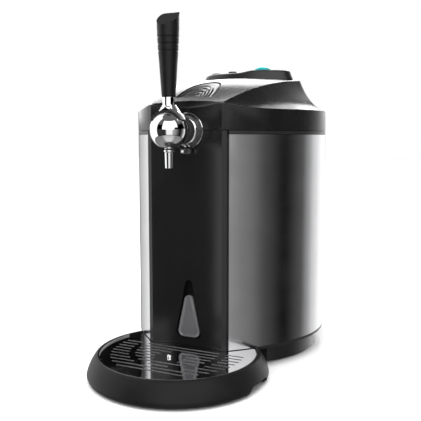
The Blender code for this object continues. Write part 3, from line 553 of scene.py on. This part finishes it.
def make_body():
    angle = math.degrees(math.asin(-PLINTH_FRONT / PLINTH_R))
    outer = arc((0.0, 0.0), PLINTH_R, -angle, 180.0 + angle, 140)
    plinth = prism([outer], low("base_plinth").z, high("base_plinth").z)
    screws = [(-78.0, -62.0), (78.0, -62.0), (-70.0, 72.0), (70.0, 72.0)]
    bores = [rod((x, y, 0), (x, y, 6), 4.4, 32) for x, y in screws]
    piece("base_plinth", carve(plinth, *bores), edge=0.6)
    piece("floor_pan", prism([body_plan(0.0, 8.0)], low("floor_pan").z, high("floor_pan").z),
        edge=0.5)

    side, inside = right_side(0.0), right_side(1.0)
    sheet = side + mirrored(side[:-1]) + (inside + mirrored(inside[:-1]))[::-1]
    window = blocks(((-88.0, 40.0, 34.0), (88.0, 160.0, 170.0)))
    piece("steel_wrap", carve(prism([sheet], WRAP_LOW, WRAP_HIGH), window), sharp=30)

    deck = prism([body_plan(0.0, 8.0), circle((0, 0), KEG_R + 1)], DECK_LOW, DECK_HIGH)
    slots = blocks(((-16.4, -160, 300), (16.4, -86, 320)), ((17.5, -121.5, 300), (25, -110.5, 320)))
    piece("top_deck", carve(deck, slots), edge=0.35)

    r = KEG_R
    wall = r + 1.5
    floor, top = 50.0, high("chamber_liner").z
    profile = [(0, floor), (r - 6, floor), (r - 1.5, floor + 1.5), (r, floor + 6), (r, top - 0.6)]
    profile += [(r + 0.6, top), (wall + 7, top), (wall + 7, top - 1.5), (wall, top - 1.5)]
    profile += [(wall, floor - 1.5), (0, floor - 1.5)]
    piece("chamber_liner", spun(profile, (0, 0, 0), steps=128))
    pad = [(72, 52.8), (72, 50.3), (52, 50.3), (52, 52.8)]
    piece("keg_pad", spun(rounded(pad, 0.6), (0, 0, 0), steps=96))


def teardrop(grow=0.0):
    return hull([(0, 113, 5 + grow), (-8.8, 48.5, 9.2 + grow), (8.8, 48.5, 9.2 + grow)])


def lens_outline(grow=0.0):
    return hull([(0, 90.5, 6.4 + grow), (-7.6, 48.8, 8.0 + grow), (7.6, 48.8, 8.0 + grow)])


def make_front():
    outer = [(-56.3, -147.0), (-56.3, -149.3)] + face_line(FACE_X, 0.0, 61)
    outer += [(56.3, -149.3), (56.3, -147.0)]
    inner = [(53.6, -147.0)] + face_line(FACE_X - 0.6, 3.0, 61)[::-1] + [(-53.6, -147.0)]
    panel = prism([outer + inner], low("front_panel").z, high("front_panel").z)
    neck = rod((0, -160, BALL.z), (0, -130, BALL.z), NECK_R + 0.4, 96)
    hole = blocks(((-3.6, -160, 282.9), (3.6, -130, 287.6)))
    panel = carve(panel, prism([teardrop()], -160.0, -130.0, "XZ"), neck, hole)
    piece("front_panel", panel, PANEL_BLACK, sharp=30, edge=0.5)

    rings = []
    steps = [(-0.4, -138.4), (-0.4, -144.2), (-0.6, -144.6), (-1.0, -144.6)]
    for grow, y in steps + [(-1.6, -143.0), (-2.2, -141.2)]:
        rings.append([(x, y, z) for x, z in teardrop(grow)])
    bezel = skin(rings)
    cuts = prism([lens_outline(0.3)], -150.0, -140.4, "XZ")
    piece("lamp_bezel", carve(bezel, cuts, rod((0, -150, 62), (0, -130, 62), 4.4, 48)),
        RECESS_PAINTED_SHADE)
    rings = []
    steps = [(0.0, -140.8), (0.0, -144.3), (-0.35, -144.85), (-0.9, -145.0)]
    for grow, y in steps + [(-1.5, -144.7), (-2.4, -143.9), (-4.5, -143.6)]:
        rings.append([(x, y, z) for x, z in lens_outline(grow)])
    piece("indicator_lens", skin(rings), sharp=60)


# ---------------------------------------------------------------- lid


def skirt_z(x, y):
    away = max(0.0, math.hypot(abs(x) - FACE_X, y - FACE_Y))
    return SKIRT_HIGH + (FRONT_HIGH - SKIRT_HIGH) * math.exp(-((away / 30.0) ** 1.5))


def edge_x(y):
    if y > LID_SIDE[1]:
        return math.sqrt(max(1.0, LID_BACK_R**2 - y**2))
    return FACE_X + (LID_SIDE[0] - FACE_X) * (y - FACE_Y) / (LID_SIDE[1] - FACE_Y)


def edge_z(y):
    t = min(1.0, (y - FACE_Y) / (LID_SIDE[1] - FACE_Y))
    return FRONT_HIGH + 68.0 * t - 29.0 * t * t + 0.02 * max(0.0, y - LID_SIDE[1])


def top_z(x, y):
    crown = 7.5 * smooth_step((y - FACE_Y) / 75.0) - 3.0 * smooth_step((y + 40.0) / 80.0)
    across = min(1.0, abs(x) / edge_x(y))
    return edge_z(y) + crown * (1 - across**2.2)


# Stations along half the lid's outline: a bevel, the flank and the back
BEVEL_END, FLANK_END, LAST = 1.0, 6.0, 15.0
RIM_TURN = 9.0


def plan_at(s):
    """A point of the lid's outline at a station."""
    centre, radius, start = flank_arc()
    if s <= BEVEL_END:
        return (FACE_X + (CORNER[0] - FACE_X) * s, FACE_Y + (CORNER[1] - FACE_Y) * s)
    if s <= FLANK_END:
        angle = start + (-FLANK_START - start) * (s - BEVEL_END) / (FLANK_END - BEVEL_END)
        return arc(centre, radius, angle, angle, 2)[0]
    angle = -FLANK_START + (90.0 + FLANK_START) * (s - FLANK_END) / (LAST - FLANK_END)
    return arc((0.0, 0.0), BODY_R, angle, angle, 2)[0]


def rim_at(s):
    """The point of the top's edge that belongs to that station."""
    if s <= RIM_TURN:
        t = s / RIM_TURN
        y = FACE_Y + 3.2 + (LID_SIDE[1] - FACE_Y - 3.2) * t**1.15
        return (edge_x(y) - 1.2 * (1 - t), y)
    start = math.degrees(math.atan2(LID_SIDE[1], LID_SIDE[0]))
    angle = math.radians(start + (90 - start) * (s - RIM_TURN) / (LAST - RIM_TURN))
    return (LID_BACK_R * math.cos(angle), LID_BACK_R * math.sin(angle))


def lid_rings(inset, drop, bottom, ups, ins):
    """Rings of the lid's surface, from the skirt up and then in over the top.

    ups are shares of the climb to the rim, and ins shares of the way out from the middle.
    """
    stations = [i / 5 for i in range(int(LAST * 5) + 1)]
    side = [plan_at(s) for s in stations]
    edge = [rim_at(s) for s in stations]
    front = [(x, face_y(x)) for x in [-48.0 + 3.0 * i for i in range(33)]]
    plan = side + mirrored(side[:-1]) + front
    rim = edge + mirrored(edge[:-1]) + [(x * 0.97, y + 3.2) for x, y in front]

    def inwards(x, y, by):
        away = Vector((x, y + 20.0))
        away.length = max(1.0, away.length - by)
        return away.x, away.y - 20.0

    rings = []
    for height in (bottom, bottom + 0.4, None):
        ring = []
        for x, y in plan:
            px, py = inwards(x, y, inset + (0.3 if height == bottom else 0.0))
            ring.append((px, py, height if height else skirt_z(x, y) - drop - 0.5))
        rings.append(ring)
    for v in ups:
        ring = []
        for (x0, y0), (x1, y1) in zip(plan, rim):
            x, y = x0 + (x1 - x0) * v, y0 + (y1 - y0) * v
            climb = 0.45 * v + 0.55 * v**3.2
            low_z = skirt_z(x0, y0)
            px, py = inwards(x, y, inset)
            ring.append((px, py, low_z + (top_z(x1, y1) - low_z) * climb - drop))
        rings.append(ring)
    for f in ins:
        ring = []
        for x1, y1 in rim:
            x, y = x1 * f, -25.0 + (y1 + 25.0) * f
            px, py = inwards(x, y, inset * f)
            ring.append((px, py, top_z(x, y) - drop))
        rings.append(ring)
    return rings


def pad_outline(grow=0.0, count=65):
    reach = PAD_BACK - PAD_FRONT + grow
    oval = []
    for i in range(count):
        a = math.pi * i / (count - 1)
        oval.append(((PAD_HALF + grow) * math.cos(a), PAD_FRONT + reach * math.sin(a)))
    corner = [(-PAD_HALF - grow, PAD_FRONT - grow), (PAD_HALF + grow, PAD_FRONT - grow)]
    line = [(corner[0][0] + (corner[1][0] - corner[0][0]) * i / 24, corner[0][1])
        for i in range(25)]
    return oval + line


def console_outline(grow=0.0, count=120):
    a, b = CONSOLE_A + grow, CONSOLE_B + grow
    angles = [2 * math.pi * i / count for i in range(count)]
    return [(a * math.cos(t), CONSOLE_Y + b * math.sin(t)) for t in angles]


def make_lid():
    ups = [0.012, 0.04] + [0.1 * i for i in range(1, 10)] + [0.95, 0.985, 1.0]
    ins = [0.99, 0.975, 0.95] + [0.9 - 0.1 * i for i in range(9)] + [0.03]
    outer = lid_rings(0.0, 0.0, LID_LOW, ups, ins)
    inner = lid_rings(LID_WALL, LID_WALL, LID_LOW, (0.35, 0.7, 1.0), (0.75, 0.45, 0.1))
    shell = skin(inner[::-1] + outer)
    console_hole = prism([console_outline(0.4)], 340.0, 420.0)
    pad_hole = prism([pad_outline(1.6)], 335.0, 400.0)
    neck = rod((0, -170, BALL.z), (0, -120, BALL.z), NECK_R + 0.6, 96)
    piece("lid_shell", carve(shell, console_hole, pad_hole, neck), LID_BLACK, sharp=32)

    liner = prism([body_plan(4.4, 12.5)], low("lid_liner").z, high("lid_liner").z)
    notches = blocks(((-17, -160, 300), (17, -86, 330)), ((17.5, -122, 300), (25, -110, 330)))
    groove = spun([(97.6, 314.0), (97.6, 300.0), (92.4, 300.0), (92.4, 314.0)], (0, 0, 0),
        steps=128)
    piece("lid_liner", carve(liner, notches, groove), edge=0.3)
    seal = [(97.2, 313.7), (97.2, 312.6), (96.0, 312.05), (94.0, 312.05), (92.8, 312.6),
        (92.8, 313.7)]
    piece("lid_seal", spun(rounded(seal, 0.3, 2), (0, 0, 0), steps=128))


def make_pad():
    rings = [[(x, y, top_z(x, y) - 7.2) for x, y in pad_outline()]]
    count = 60
    for k in range(count + 1):
        f = 1.0 - 0.985 * k / count
        edge = 0.5 * (1 - smooth_step(k / 1.5))
        depth = 1.2 * smooth_step((0.93 - f) / 0.08)
        ridge = 0.5 - 0.5 * math.cos(2 * math.pi * (0.93 - f) / 0.155)
        wave = 0.75 * ridge * smooth_step((0.93 - f) / 0.05)
        ring = []
        for x, y in pad_outline():
            px, py = x * f, PAD_FRONT + 2.0 + (y - PAD_FRONT - 2.0) * f
            ring.append((px, py, top_z(px, py) - 1.2 - edge - depth + wave))
        rings.append(ring)
    piece("release_pad", skin(rings), LID_BLACK, sharp=55)
    refined("latch_tongue", 0.6)


def make_console():
    rings = []
    profile = [(0.985, 381.0), (1.0, 386.0), (1.0, 390.6), (0.994, 391.6), (0.955, 397.0)]
    profile += [(0.945, 398.4), (0.93, 399.3), (0.9, 399.9), (0.8, 400.6), (0.6, 401.3)]
    profile += [(0.4, 401.7), (0.2, 401.9), (0.05, 402.0)]
    for f, z in profile:
        ring = []
        for x, y in console_outline():
            lift = 3.2 * smooth_step((x + 5.0) / 30.0) * smooth_step((z - 396.0) / 4.0)
            ring.append((x * f, CONSOLE_Y + (y - CONSOLE_Y) * f, z + lift))
        rings.append(ring)
    holes = []
    for _, x, y, r, _, _ in KEYS:
        holes.append(rod((x, y, 380), (x, y, 420), r + 0.4, 96))
    inside = [(x * 0.93, CONSOLE_Y + (y - CONSOLE_Y) * 0.86) for x, y in console_outline()]
    piece("console", carve(skin(rings), prism([inside], 370.0, 396.5), *holes), sharp=40)
    for name, x, y, r, top, dome in KEYS:
        profile = [(0, top)]
        for k in range(1, 13):
            t = k / 12
            profile.append((r * 0.96 * t,
                top - dome * (1 - math.sqrt(1 - (0.92 * t) ** 2)) / 0.608))
        skirt = [(r, profile[-1][1] - 0.6), (r, 395.0), (r + 1.6, 395.0), (r + 1.6, KEY_BASE)]
        profile += rounded(skirt, 0.2, 2) + [(0, KEY_BASE)]
        piece(name, spun(profile, (x, y, 0), steps=72), sharp=50)


# ---------------------------------------------------------------- tap


def make_tap():
    back = (0, 1, 0)
    collar = [(12.3, -13.4), (17.2, -13.4), (18.6, -12.0), (20.6, -6.5), (21.9, -2.4)]
    collar += [(22.8, -1.4), (22.8, 0.0), (12.3, 0.0)]
    piece("tap_collar", spun(rounded(collar, 0.6, 4), (0, -146.4, BALL.z), back, 128), sharp=50)
    ring = [(12.3, -9.0), (15.0, -9.0), (16.8, -7.4), (16.0, -4.6), (17.4, -2.2)]
    ring += [(17.4, 0.0), (12.3, 0.0)]
    piece("collar_ring", spun(rounded(ring, 0.8, 4), (0, -160.2, BALL.z), back, 112), sharp=60)

    fillet = 2.2
    start = math.asin((NECK_R + fillet) / (BALL_R + fillet))
    turns = [math.pi * i / 80 for i in range(81)]
    profile = [(BALL_R * math.sin(a), -BALL_R * math.cos(a)) for a in turns]
    profile = [(r, h) for r, h in profile if h < BALL_R * math.cos(start)]
    centre = ((BALL_R + fillet) * math.sin(start), (BALL_R + fillet) * math.cos(start))
    turn = [start + (math.pi / 2 - start) * i / 8 for i in range(9)]
    profile += [(centre[0] - fillet * math.sin(t), centre[1] - fillet * math.cos(t)) for t in turn]
    end = -126.9 - BALL.y
    profile += [(NECK_R, end - 0.8), (NECK_R - 0.8, end), (0, end)]
    profile[0] = (0.0, -BALL_R)
    body = spun(profile, BALL, back, 128)
    lean, front = math.radians(30.0), math.radians(12.0)
    half = 3.6
    back_ray = Vector((math.sin(lean), math.cos(lean)))
    front_ray = Vector((-math.sin(front), math.cos(front)))
    back_side = Vector((back_ray.y, -back_ray.x)) * half
    front_side = Vector((-front_ray.y, front_ray.x)) * half
    fan = [back_side, back_side + 30 * back_ray, front_side + 30 * front_ray, front_side]
    slot = prism([[(BALL.y + p.x, BALL.z + p.y) for p in fan]], -half, half, "YZ")
    bore = rod(BALL + Vector((-13, 0, 0)), BALL + Vector((13, 0, 0)), 6.0, 48)
    piece("tap_body", carve(body, slot, bore), sharp=45)

    spout = [(0, 22.3), (5.3, 22.3), (6.2, 21.3), (6.2, 20.2), (5.2, 19.0), (4.7, 0.0)]
    spout += [(3.3, 0.0), (3.3, 17.2), (0, 17.2)]
    piece("tap_spout", spun(rounded(spout, 0.35), (0, BALL.y, 266.0), steps=72), sharp=50)
    face, well = rounded_box(-6.8, 282.2, 6.8, 288.4, 1.2), rounded_box(-5.2, 283.6, 5.2, 287.2,
        0.8)
    stem = blocks(((-3.2, -149.5, 283.3), (3.2, -140.4, 287.2)))
    plate = prism([face], -153.8, -148.9, "XZ")
    catch = carve(plate, prism([well], -170.0, -150.6, "XZ"), (stem, "UNION"))
    piece("tap_catch", catch, edge=0.7)


def make_lever():
    flare = rod(BALL + Vector((0, 2, 17)), BALL + Vector((0, 1, 31)), 17.0, 144, 7.4)
    keep = blocks((BALL + Vector((-30, -9, 12.5)), BALL + Vector((30, 18, 30))))
    neck = [(0, 39.3), (7.15, 39.3), (7.15, 29.6), (7.6, 28.4), (8.6, 27.4), (8.6, 24.0), (0, 24.0)]
    hood = carve(
        ball(BALL, BALL_R + 2.8, 144, 72),
        (flare, "UNION"),
        (keep, "INTERSECT"),
        (spun(rounded(neck, 0.5, 3), BALL, steps=96), "UNION"),
        ball(BALL, BALL_R + 0.6, 144, 72),
    )
    piece("lever_hood", hood, sharp=32, edge=0.3)

    grooves = ((421.0, 0.9), (413.0, 0.9), (405.0, 0.9))
    outline = [(HANDLE_LOW, 8.5), (357.0, 8.7), (374.0, 9.9), (392.0, 11.1), (403.4, 12.1)]
    outline += [(420.0, 13.1), (432.0, 13.5), (460.0, 13.7)]

    def girth(z):
        span = [pair for pair in zip(outline, outline[1:])
            if z <= pair[1][0] or pair[1] == outline[-1]]
        (z0, r0), (z1, r1) = span[0]
        r = r0 + (r1 - r0) * (z - z0) / (z1 - z0)
        for middle, depth in grooves:
            r -= depth * smooth_step(1 - max(0.0, abs(z - middle) - 0.45) / 0.5)
        return r

    heights = [HANDLE_LOW + 0.02, 351.6, 352.2] + [353.0 + 2.5 * i for i in range(20)]
    heights += [402.0 + 0.25 * i for i in range(88)] + [424.5 + 1.5 * i for i in range(26)]
    slope, cap = math.tan(math.radians(38)), HANDLE_TOP
    rings = []
    count = 72
    for z in heights:
        r = girth(z) - (0.7 if z < 351.4 else 0.25 if z < 351.8 else 0.0)
        ring = []
        for i in range(count):
            a = 2 * math.pi * i / count
            ring.append((r * math.cos(a), BALL.y + r * math.sin(a), z))
        rings.append(ring)
    top = rings[-1]
    for k in range(1, 16):
        f = 1 - k / 15.3
        rings.append([(x * f, BALL.y + (y - BALL.y) * f, z) for x, y, z in top])
    soft = 1.6
    shaped = []
    for ring in rings:
        made = []
        for x, y, z in ring:
            plane = cap - 1.0 + (y - BALL.y - 8.0) * slope
            limit = -soft * math.log(math.exp(-(plane - cap) / soft) + 1.0) + cap
            level = z
            if z > limit - 14:
                level = -soft * math.log(math.exp(-(z - limit) / soft) + 1.0) + limit
            made.append((x, y, level))
        shaped.append(made)
    piece("tap_handle", skin(shaped), HANDLE_BLACK, sharp=70)


# ---------------------------------------------------------------- drip tray


def plate_outline(radius, clear):
    side = right_side(-clear, 60, 30)
    flank = [p for p in side if math.hypot(p[0], p[1] - PLATE_Y) < radius]
    last = flank[-1]
    start = math.degrees(math.atan2(last[1] - PLATE_Y, last[0]))
    outline = arc((0.0, PLATE_Y), radius, start, -180.0 - start, 150)
    nose = [(FACE_X + 0.4, FACE_Y - clear), (CORNER[0] + 0.2, FACE_Y + 1.5)]
    front = mirrored(nose) + face_line(FACE_X - 1, -clear, 33) + nose
    return outline + mirrored(flank) + front + flank


def slot_spans(y):
    def half_chord(centre_y, radius):
        return math.sqrt(max(0.0, radius**2 - (y - centre_y) ** 2))

    rim, ring_out = half_chord(-175.5, 86.0), half_chord(-175.5, 62.4)
    ring_in, middle = half_chord(-175.5, 54.6), half_chord(STUD_Y, 19.5)
    spans = [(ring_out, rim)] if ring_out > 0 else [(-rim, rim)]
    if ring_in > 0:
        spans += [(middle, ring_in)] if middle > 0 else [(-ring_in, ring_in)]
    both = []
    for a, b in spans:
        both += [(a, b)] if a < 0 else [(a, b), (-b, -a)]
    return [(a, b) for a, b in both if b - a > 9.0]


def make_tray():
    outer = [(0, LIP_TOP), (102.0, LIP_TOP), (104.4, LIP_TOP - 0.5), (106.4, 29.0)]
    outer += [(111.0, 21.5), (114.4, 13.5), (TRAY_R, 8.0), (115.2, 4.6), (112.2, 2.0)]
    outer += [(108.0, 0.0), (0, 0.0)]
    tray = spun(rounded(outer, 2.6, 4), (0, TRAY_Y, 0), steps=200)
    back = blocks(((-150, PLINTH_FRONT - 2.0, -5), (150, 60, 50)))
    angle = math.degrees(math.acos((PLINTH_FRONT - 5.0 - TRAY_Y) / 98.0))
    basin = prism([arc((0, TRAY_Y), 98.0, 90 + angle, 450 - angle, 140)], 3.0, 60.0)
    recess = prism([plate_outline(PLATE_R + 0.5, 0.4)], 27.0, 60.0)
    body = prism([body_plan(-1.0, -1.0)], 26.0, 60.0)
    scoops = []
    for s in (-1, 1):
        a, b = sorted((s * 99.8, s * 130.0))
        scoops.append(prism([hull([(SCOOP_Y - 15.0, 0, 11.0), (SCOOP_Y + 15.0, 0, 11.0)])], a, b,
            "YZ"))
    piece("drip_tray", carve(tray, back, basin, recess, body, *scoops), TRAY_BLACK, sharp=32)


def make_plate():
    plate = prism([plate_outline(PLATE_R - 0.6, 1.2)], 28.4, PLATE_TOP)
    slots = []
    for row in range(SLOT_ROWS):
        y = SLOT_FIRST_Y - SLOT_PITCH * row
        for a, b in slot_spans(y):
            right_end = arc((b - SLOT_R, y), SLOT_R, -90, 90, 9)
            slots.append(right_end + arc((a + SLOT_R, y), SLOT_R, 90, 270, 9))
    start = 20.0
    lip = arc((0, PLATE_Y), PLATE_R, start, -180 - start, 160)
    lip += arc((0, PLATE_Y), PLATE_R - 1.8, -180 - start, start, 160)
    stud_hole = rod((0, STUD_Y, 20), (0, STUD_Y, 40), 2.3, 32)
    made = carve(plate, prism(slots, 20.0, 40.0), (prism([lip], 27.4, LIP_TOP), "UNION"), stud_hole)
    plate = piece("drip_plate", made, sharp=30, edge=0.25)
    plate.data.materials.append(CUT_EDGE)
    for face in plate.data.polygons:
        face.material_index = int(abs(face.normal.z) < 0.5)
    stud = [(0, 4.2), (1.2, 4.1), (2.2, 3.6), (2.8, 2.8), (3.2, 1.0)]
    stud += [(3.2, 0.3), (1.9, 0.3), (1.9, -3.0), (0, -3.0)]
    piece("plate_stud", spun(stud, (0, STUD_Y, PLATE_TOP), steps=48), sharp=50)


# ---------------------------------------------------------------- back


def make_back():
    lo, hi = low("rear_housing"), high("rear_housing")
    x, y, t = hi.x, HOUSING_BACK, HOUSING_WALL
    outer = rounded_box(-x, HOUSING_FRONT, x, y, HOUSING_CORNER, 24)
    inner = rounded_box(-x + t, HOUSING_FRONT - 10, x - t, y - t, HOUSING_CORNER - t, 24)
    slots = []
    for i in range(LOUVRES):
        slots.append(((-32, 130, FAN_Z - 33.7 + 8 * i), (32, 160, FAN_Z - 30.3 + 8 * i)))
    for s in (-1, 1):
        for i in range(LOUVRES):
            z = 60 + 9 * i
            slots.append(((s * 90 - 20, 106, z), (s * 90 + 20, 124, z + LOUVRE_HIGH)))
    housing = carve(
        prism([outer], lo.z, hi.z),
        prism([inner], lo.z + t, hi.z - t),
        prism([body_plan(-0.4, 8.0)], 26.7, 330.0),
        rod((0, 0, 0), (0, 0, 27.0), PLINTH_R + 0.4, 200),
        blocks(*slots),
        blocks(((-92, 130, 28), (-63, 160, 50))),
    )
    piece("rear_housing", housing, sharp=30, edge=0.5)
    for node in EASED_WIDE:
        refined(node, 0.3)
    for node in EASED_NARROW:
        refined(node, 0.2)


make_body()
make_front()
make_lid()
make_pad()
make_console()
make_tap()
make_lever()
make_tray()
make_plate()
make_back()

for node, obj in frame["nodes"].items():
    if not obj.hide_render:
        obj.data.materials.clear()
        obj.data.materials.append(LOOK[SLOT_OF[node]])


# ---------------------------------------------------------------- studio and camera


def stops(ramp, pairs):
    """Sets a ramp's grey stops from (position, value) pairs."""
    ramp.color_ramp.interpolation = "EASE"
    elements = ramp.color_ramp.elements
    while len(elements) > 1:
        elements.remove(elements[-1])
    for i, (position, value) in enumerate(pairs):
        element = elements[0] if i == 0 else elements.new(position)
        element.position = position
        element.color = (value, value, value, 1.0)


# Each entry: brightness by compass angle (0 is -Y, 90 is +X), and by height above the horizon
PANELS = (
    (  # upright panels all round, which the steel reflects
        [(-180, 1.6), (-177, 1.2), (-170, 0.0), (-146, 0.0), (-130, 0.7), (-107, 1.35), (-52, 1.35)]
        + [(-46, 0.04), (6, 0.03), (10, 0.3), (16, 1.0), (46, 1.0), (55, 0.4), (72, 0.26),
            (86, 0.08)]
        + [(101, 0.0), (116, 0.1), (128, 0.45), (142, 1.05), (160, 1.5), (180, 1.6)],
        [(-30, 0.0), (-26, 1.0), (3, 1.0), (8, 0.0)],
    ),
    (  # a low bright band behind, for the lid's deck
        [(-180, 3.4), (-140, 3.4), (-124, 1.4), (-118, 0.0), (150, 0.0), (165, 3.4), (180, 3.4)],
        [(2, 0.0), (5, 1.0), (9, 0.9), (12, 0.3), (15, 0.0)],
    ),
    # a tall panel at the left, two windows at the right, a glow behind, the ceiling and the floor
    ([(-124, 0.0), (-116, 1.35), (-52, 1.35), (-46, 0.0)],
        [(3, 0.0), (8, 1.0), (60, 1.0), (66, 0.0)]),
    ([(-14, 0.0), (-9, 1.8), (58, 1.8), (64, 0.0)], [(3, 0.0), (6, 1.0), (52, 1.0), (56, 0.0)]),
    ([(58, 0.0), (64, 1.8), (80, 1.8), (86, 0.0)], [(14, 0.0), (18, 1.0), (52, 1.0), (56, 0.0)]),
    (
        [(-180, 0.0), (128, 0.0), (150, 0.8), (166, 1.6), (180, 1.6)],
        [(6, 0.0), (12, 1.0), (24, 0.9), (36, 0.25), (46, 0.0)],
    ),
    ([(-180, 0.13), (180, 0.13)], [(24, 0.0), (36, 1.0), (90, 1.0)]),
    (
        [(-180, 0.3), (-30, 0.25), (10, 0.7), (50, 0.7), (80, 0.3), (180, 0.3)],
        [(-90, 0.5), (-60, 1.0), (-32, 0.8), (-29, 0.0)],
    ),
)


def make_world():
    """Soft panels by direction, seen by reflections and light; the camera sees plain white."""
    world = bpy.data.worlds.new("studio")
    bpy.context.scene.world = world
    world.use_nodes = True
    tree = world.node_tree
    background = tree.nodes["Background"]
    background.inputs["Color"].default_value = (1.0, 1.0, 1.0, 1.0)

    def math_node(operation, a, b=None):
        node = tree.nodes.new("ShaderNodeMath")
        node.operation = operation
        for socket, value in zip(node.inputs, (a, b)):
            if value is None:
                continue
            if isinstance(value, (int, float)):
                socket.default_value = value
            else:
                tree.links.new(value, socket)
        return node.outputs[0]

    coords = tree.nodes.new("ShaderNodeTexCoord")
    split = tree.nodes.new("ShaderNodeSeparateXYZ")
    tree.links.new(coords.outputs["Generated"], split.inputs[0])
    x, y, z = split.outputs
    around = math_node("ARCTAN2", x, math_node("MULTIPLY", y, -1.0))
    around = math_node("ADD", math_node("DIVIDE", around, 2 * math.pi), 0.5)
    up = math_node("ADD", math_node("DIVIDE", math_node("ARCSINE", z), math.pi), 0.5)

    def profile(source, pairs, span):
        ramp = tree.nodes.new("ShaderNodeValToRGB")
        top = max(value for _, value in pairs)
        stops(ramp, [(angle / span + 0.5, value / top) for angle, value in pairs])
        tree.links.new(source, ramp.inputs["Fac"])
        return math_node("MULTIPLY", ramp.outputs["Color"], top)

    total = None
    for sides, heights in PANELS:
        glow = math_node("MULTIPLY", profile(around, sides, 360.0), profile(up, heights, 180.0))
        total = glow if total is None else math_node("ADD", total, glow)
    ray = tree.nodes.new("ShaderNodeLightPath")
    seen = tree.nodes.new("ShaderNodeMix")
    seen.data_type = "FLOAT"
    tree.links.new(ray.outputs["Is Camera Ray"], seen.inputs[0])
    tree.links.new(total, seen.inputs[2])
    seen.inputs[3].default_value = 1.0
    tree.links.new(seen.outputs[0], background.inputs["Strength"])


def make_stage():
    bm = bmesh.new()
    bmesh.ops.create_grid(bm, x_segments=1, y_segments=1, size=8.0)
    floor = bpy.data.objects.new("floor", to_mesh(bm))
    floor.data.materials.append(
        surface("Pale_Floor", (0.86, 0.86, 0.86), 0.7, tint=0.01, grain=(60.0, 0.02))
    )
    bpy.context.scene.collection.objects.link(floor)
    floor.visible_glossy = False

    glow = bpy.data.lights.new("back_softbox", "AREA")
    glow.shape = "RECTANGLE"
    glow.size, glow.size_y = 1.0, 0.42
    glow.energy = 7.6
    softbox = bpy.data.objects.new("back_softbox", glow)
    spot, aim = Vector((-0.45, 0.88, 0.79)), Vector((0.0, 0.02, 0.37))
    softbox.location = spot
    softbox.rotation_euler = (spot - aim).to_track_quat("Z", "Y").to_euler()
    softbox.visible_camera = False
    bpy.context.scene.collection.objects.link(softbox)

    lamp = bpy.data.lights.new("overhead", "SUN")
    lamp.energy = 4.2
    lamp.angle = math.radians(70)
    overhead = bpy.data.objects.new("overhead", lamp)
    overhead.visible_glossy = False
    bpy.context.scene.collection.objects.link(overhead)


def make_camera():
    data = bpy.data.cameras.new("camera")
    data.sensor_width = 36.0
    data.lens = 55.17
    camera = bpy.data.objects.new("camera", data)
    right = Vector((0.90858, 0.41770, 0.0)).normalized()
    forward = Vector((-0.41512, 0.90297, -0.11095)).normalized()
    up = right.cross(forward).normalized()
    rotation = Matrix((right, up, -forward)).transposed()
    camera.matrix_world = Matrix.Translation((0.3725, -0.81545, 0.30185)) @ rotation.to_4x4()
    data.clip_end = 50.0
    bpy.context.scene.collection.objects.link(camera)
    bpy.context.scene.camera = camera


make_world()
make_stage()
make_camera()
bpy.context.scene.view_settings.view_transform = "Standard"
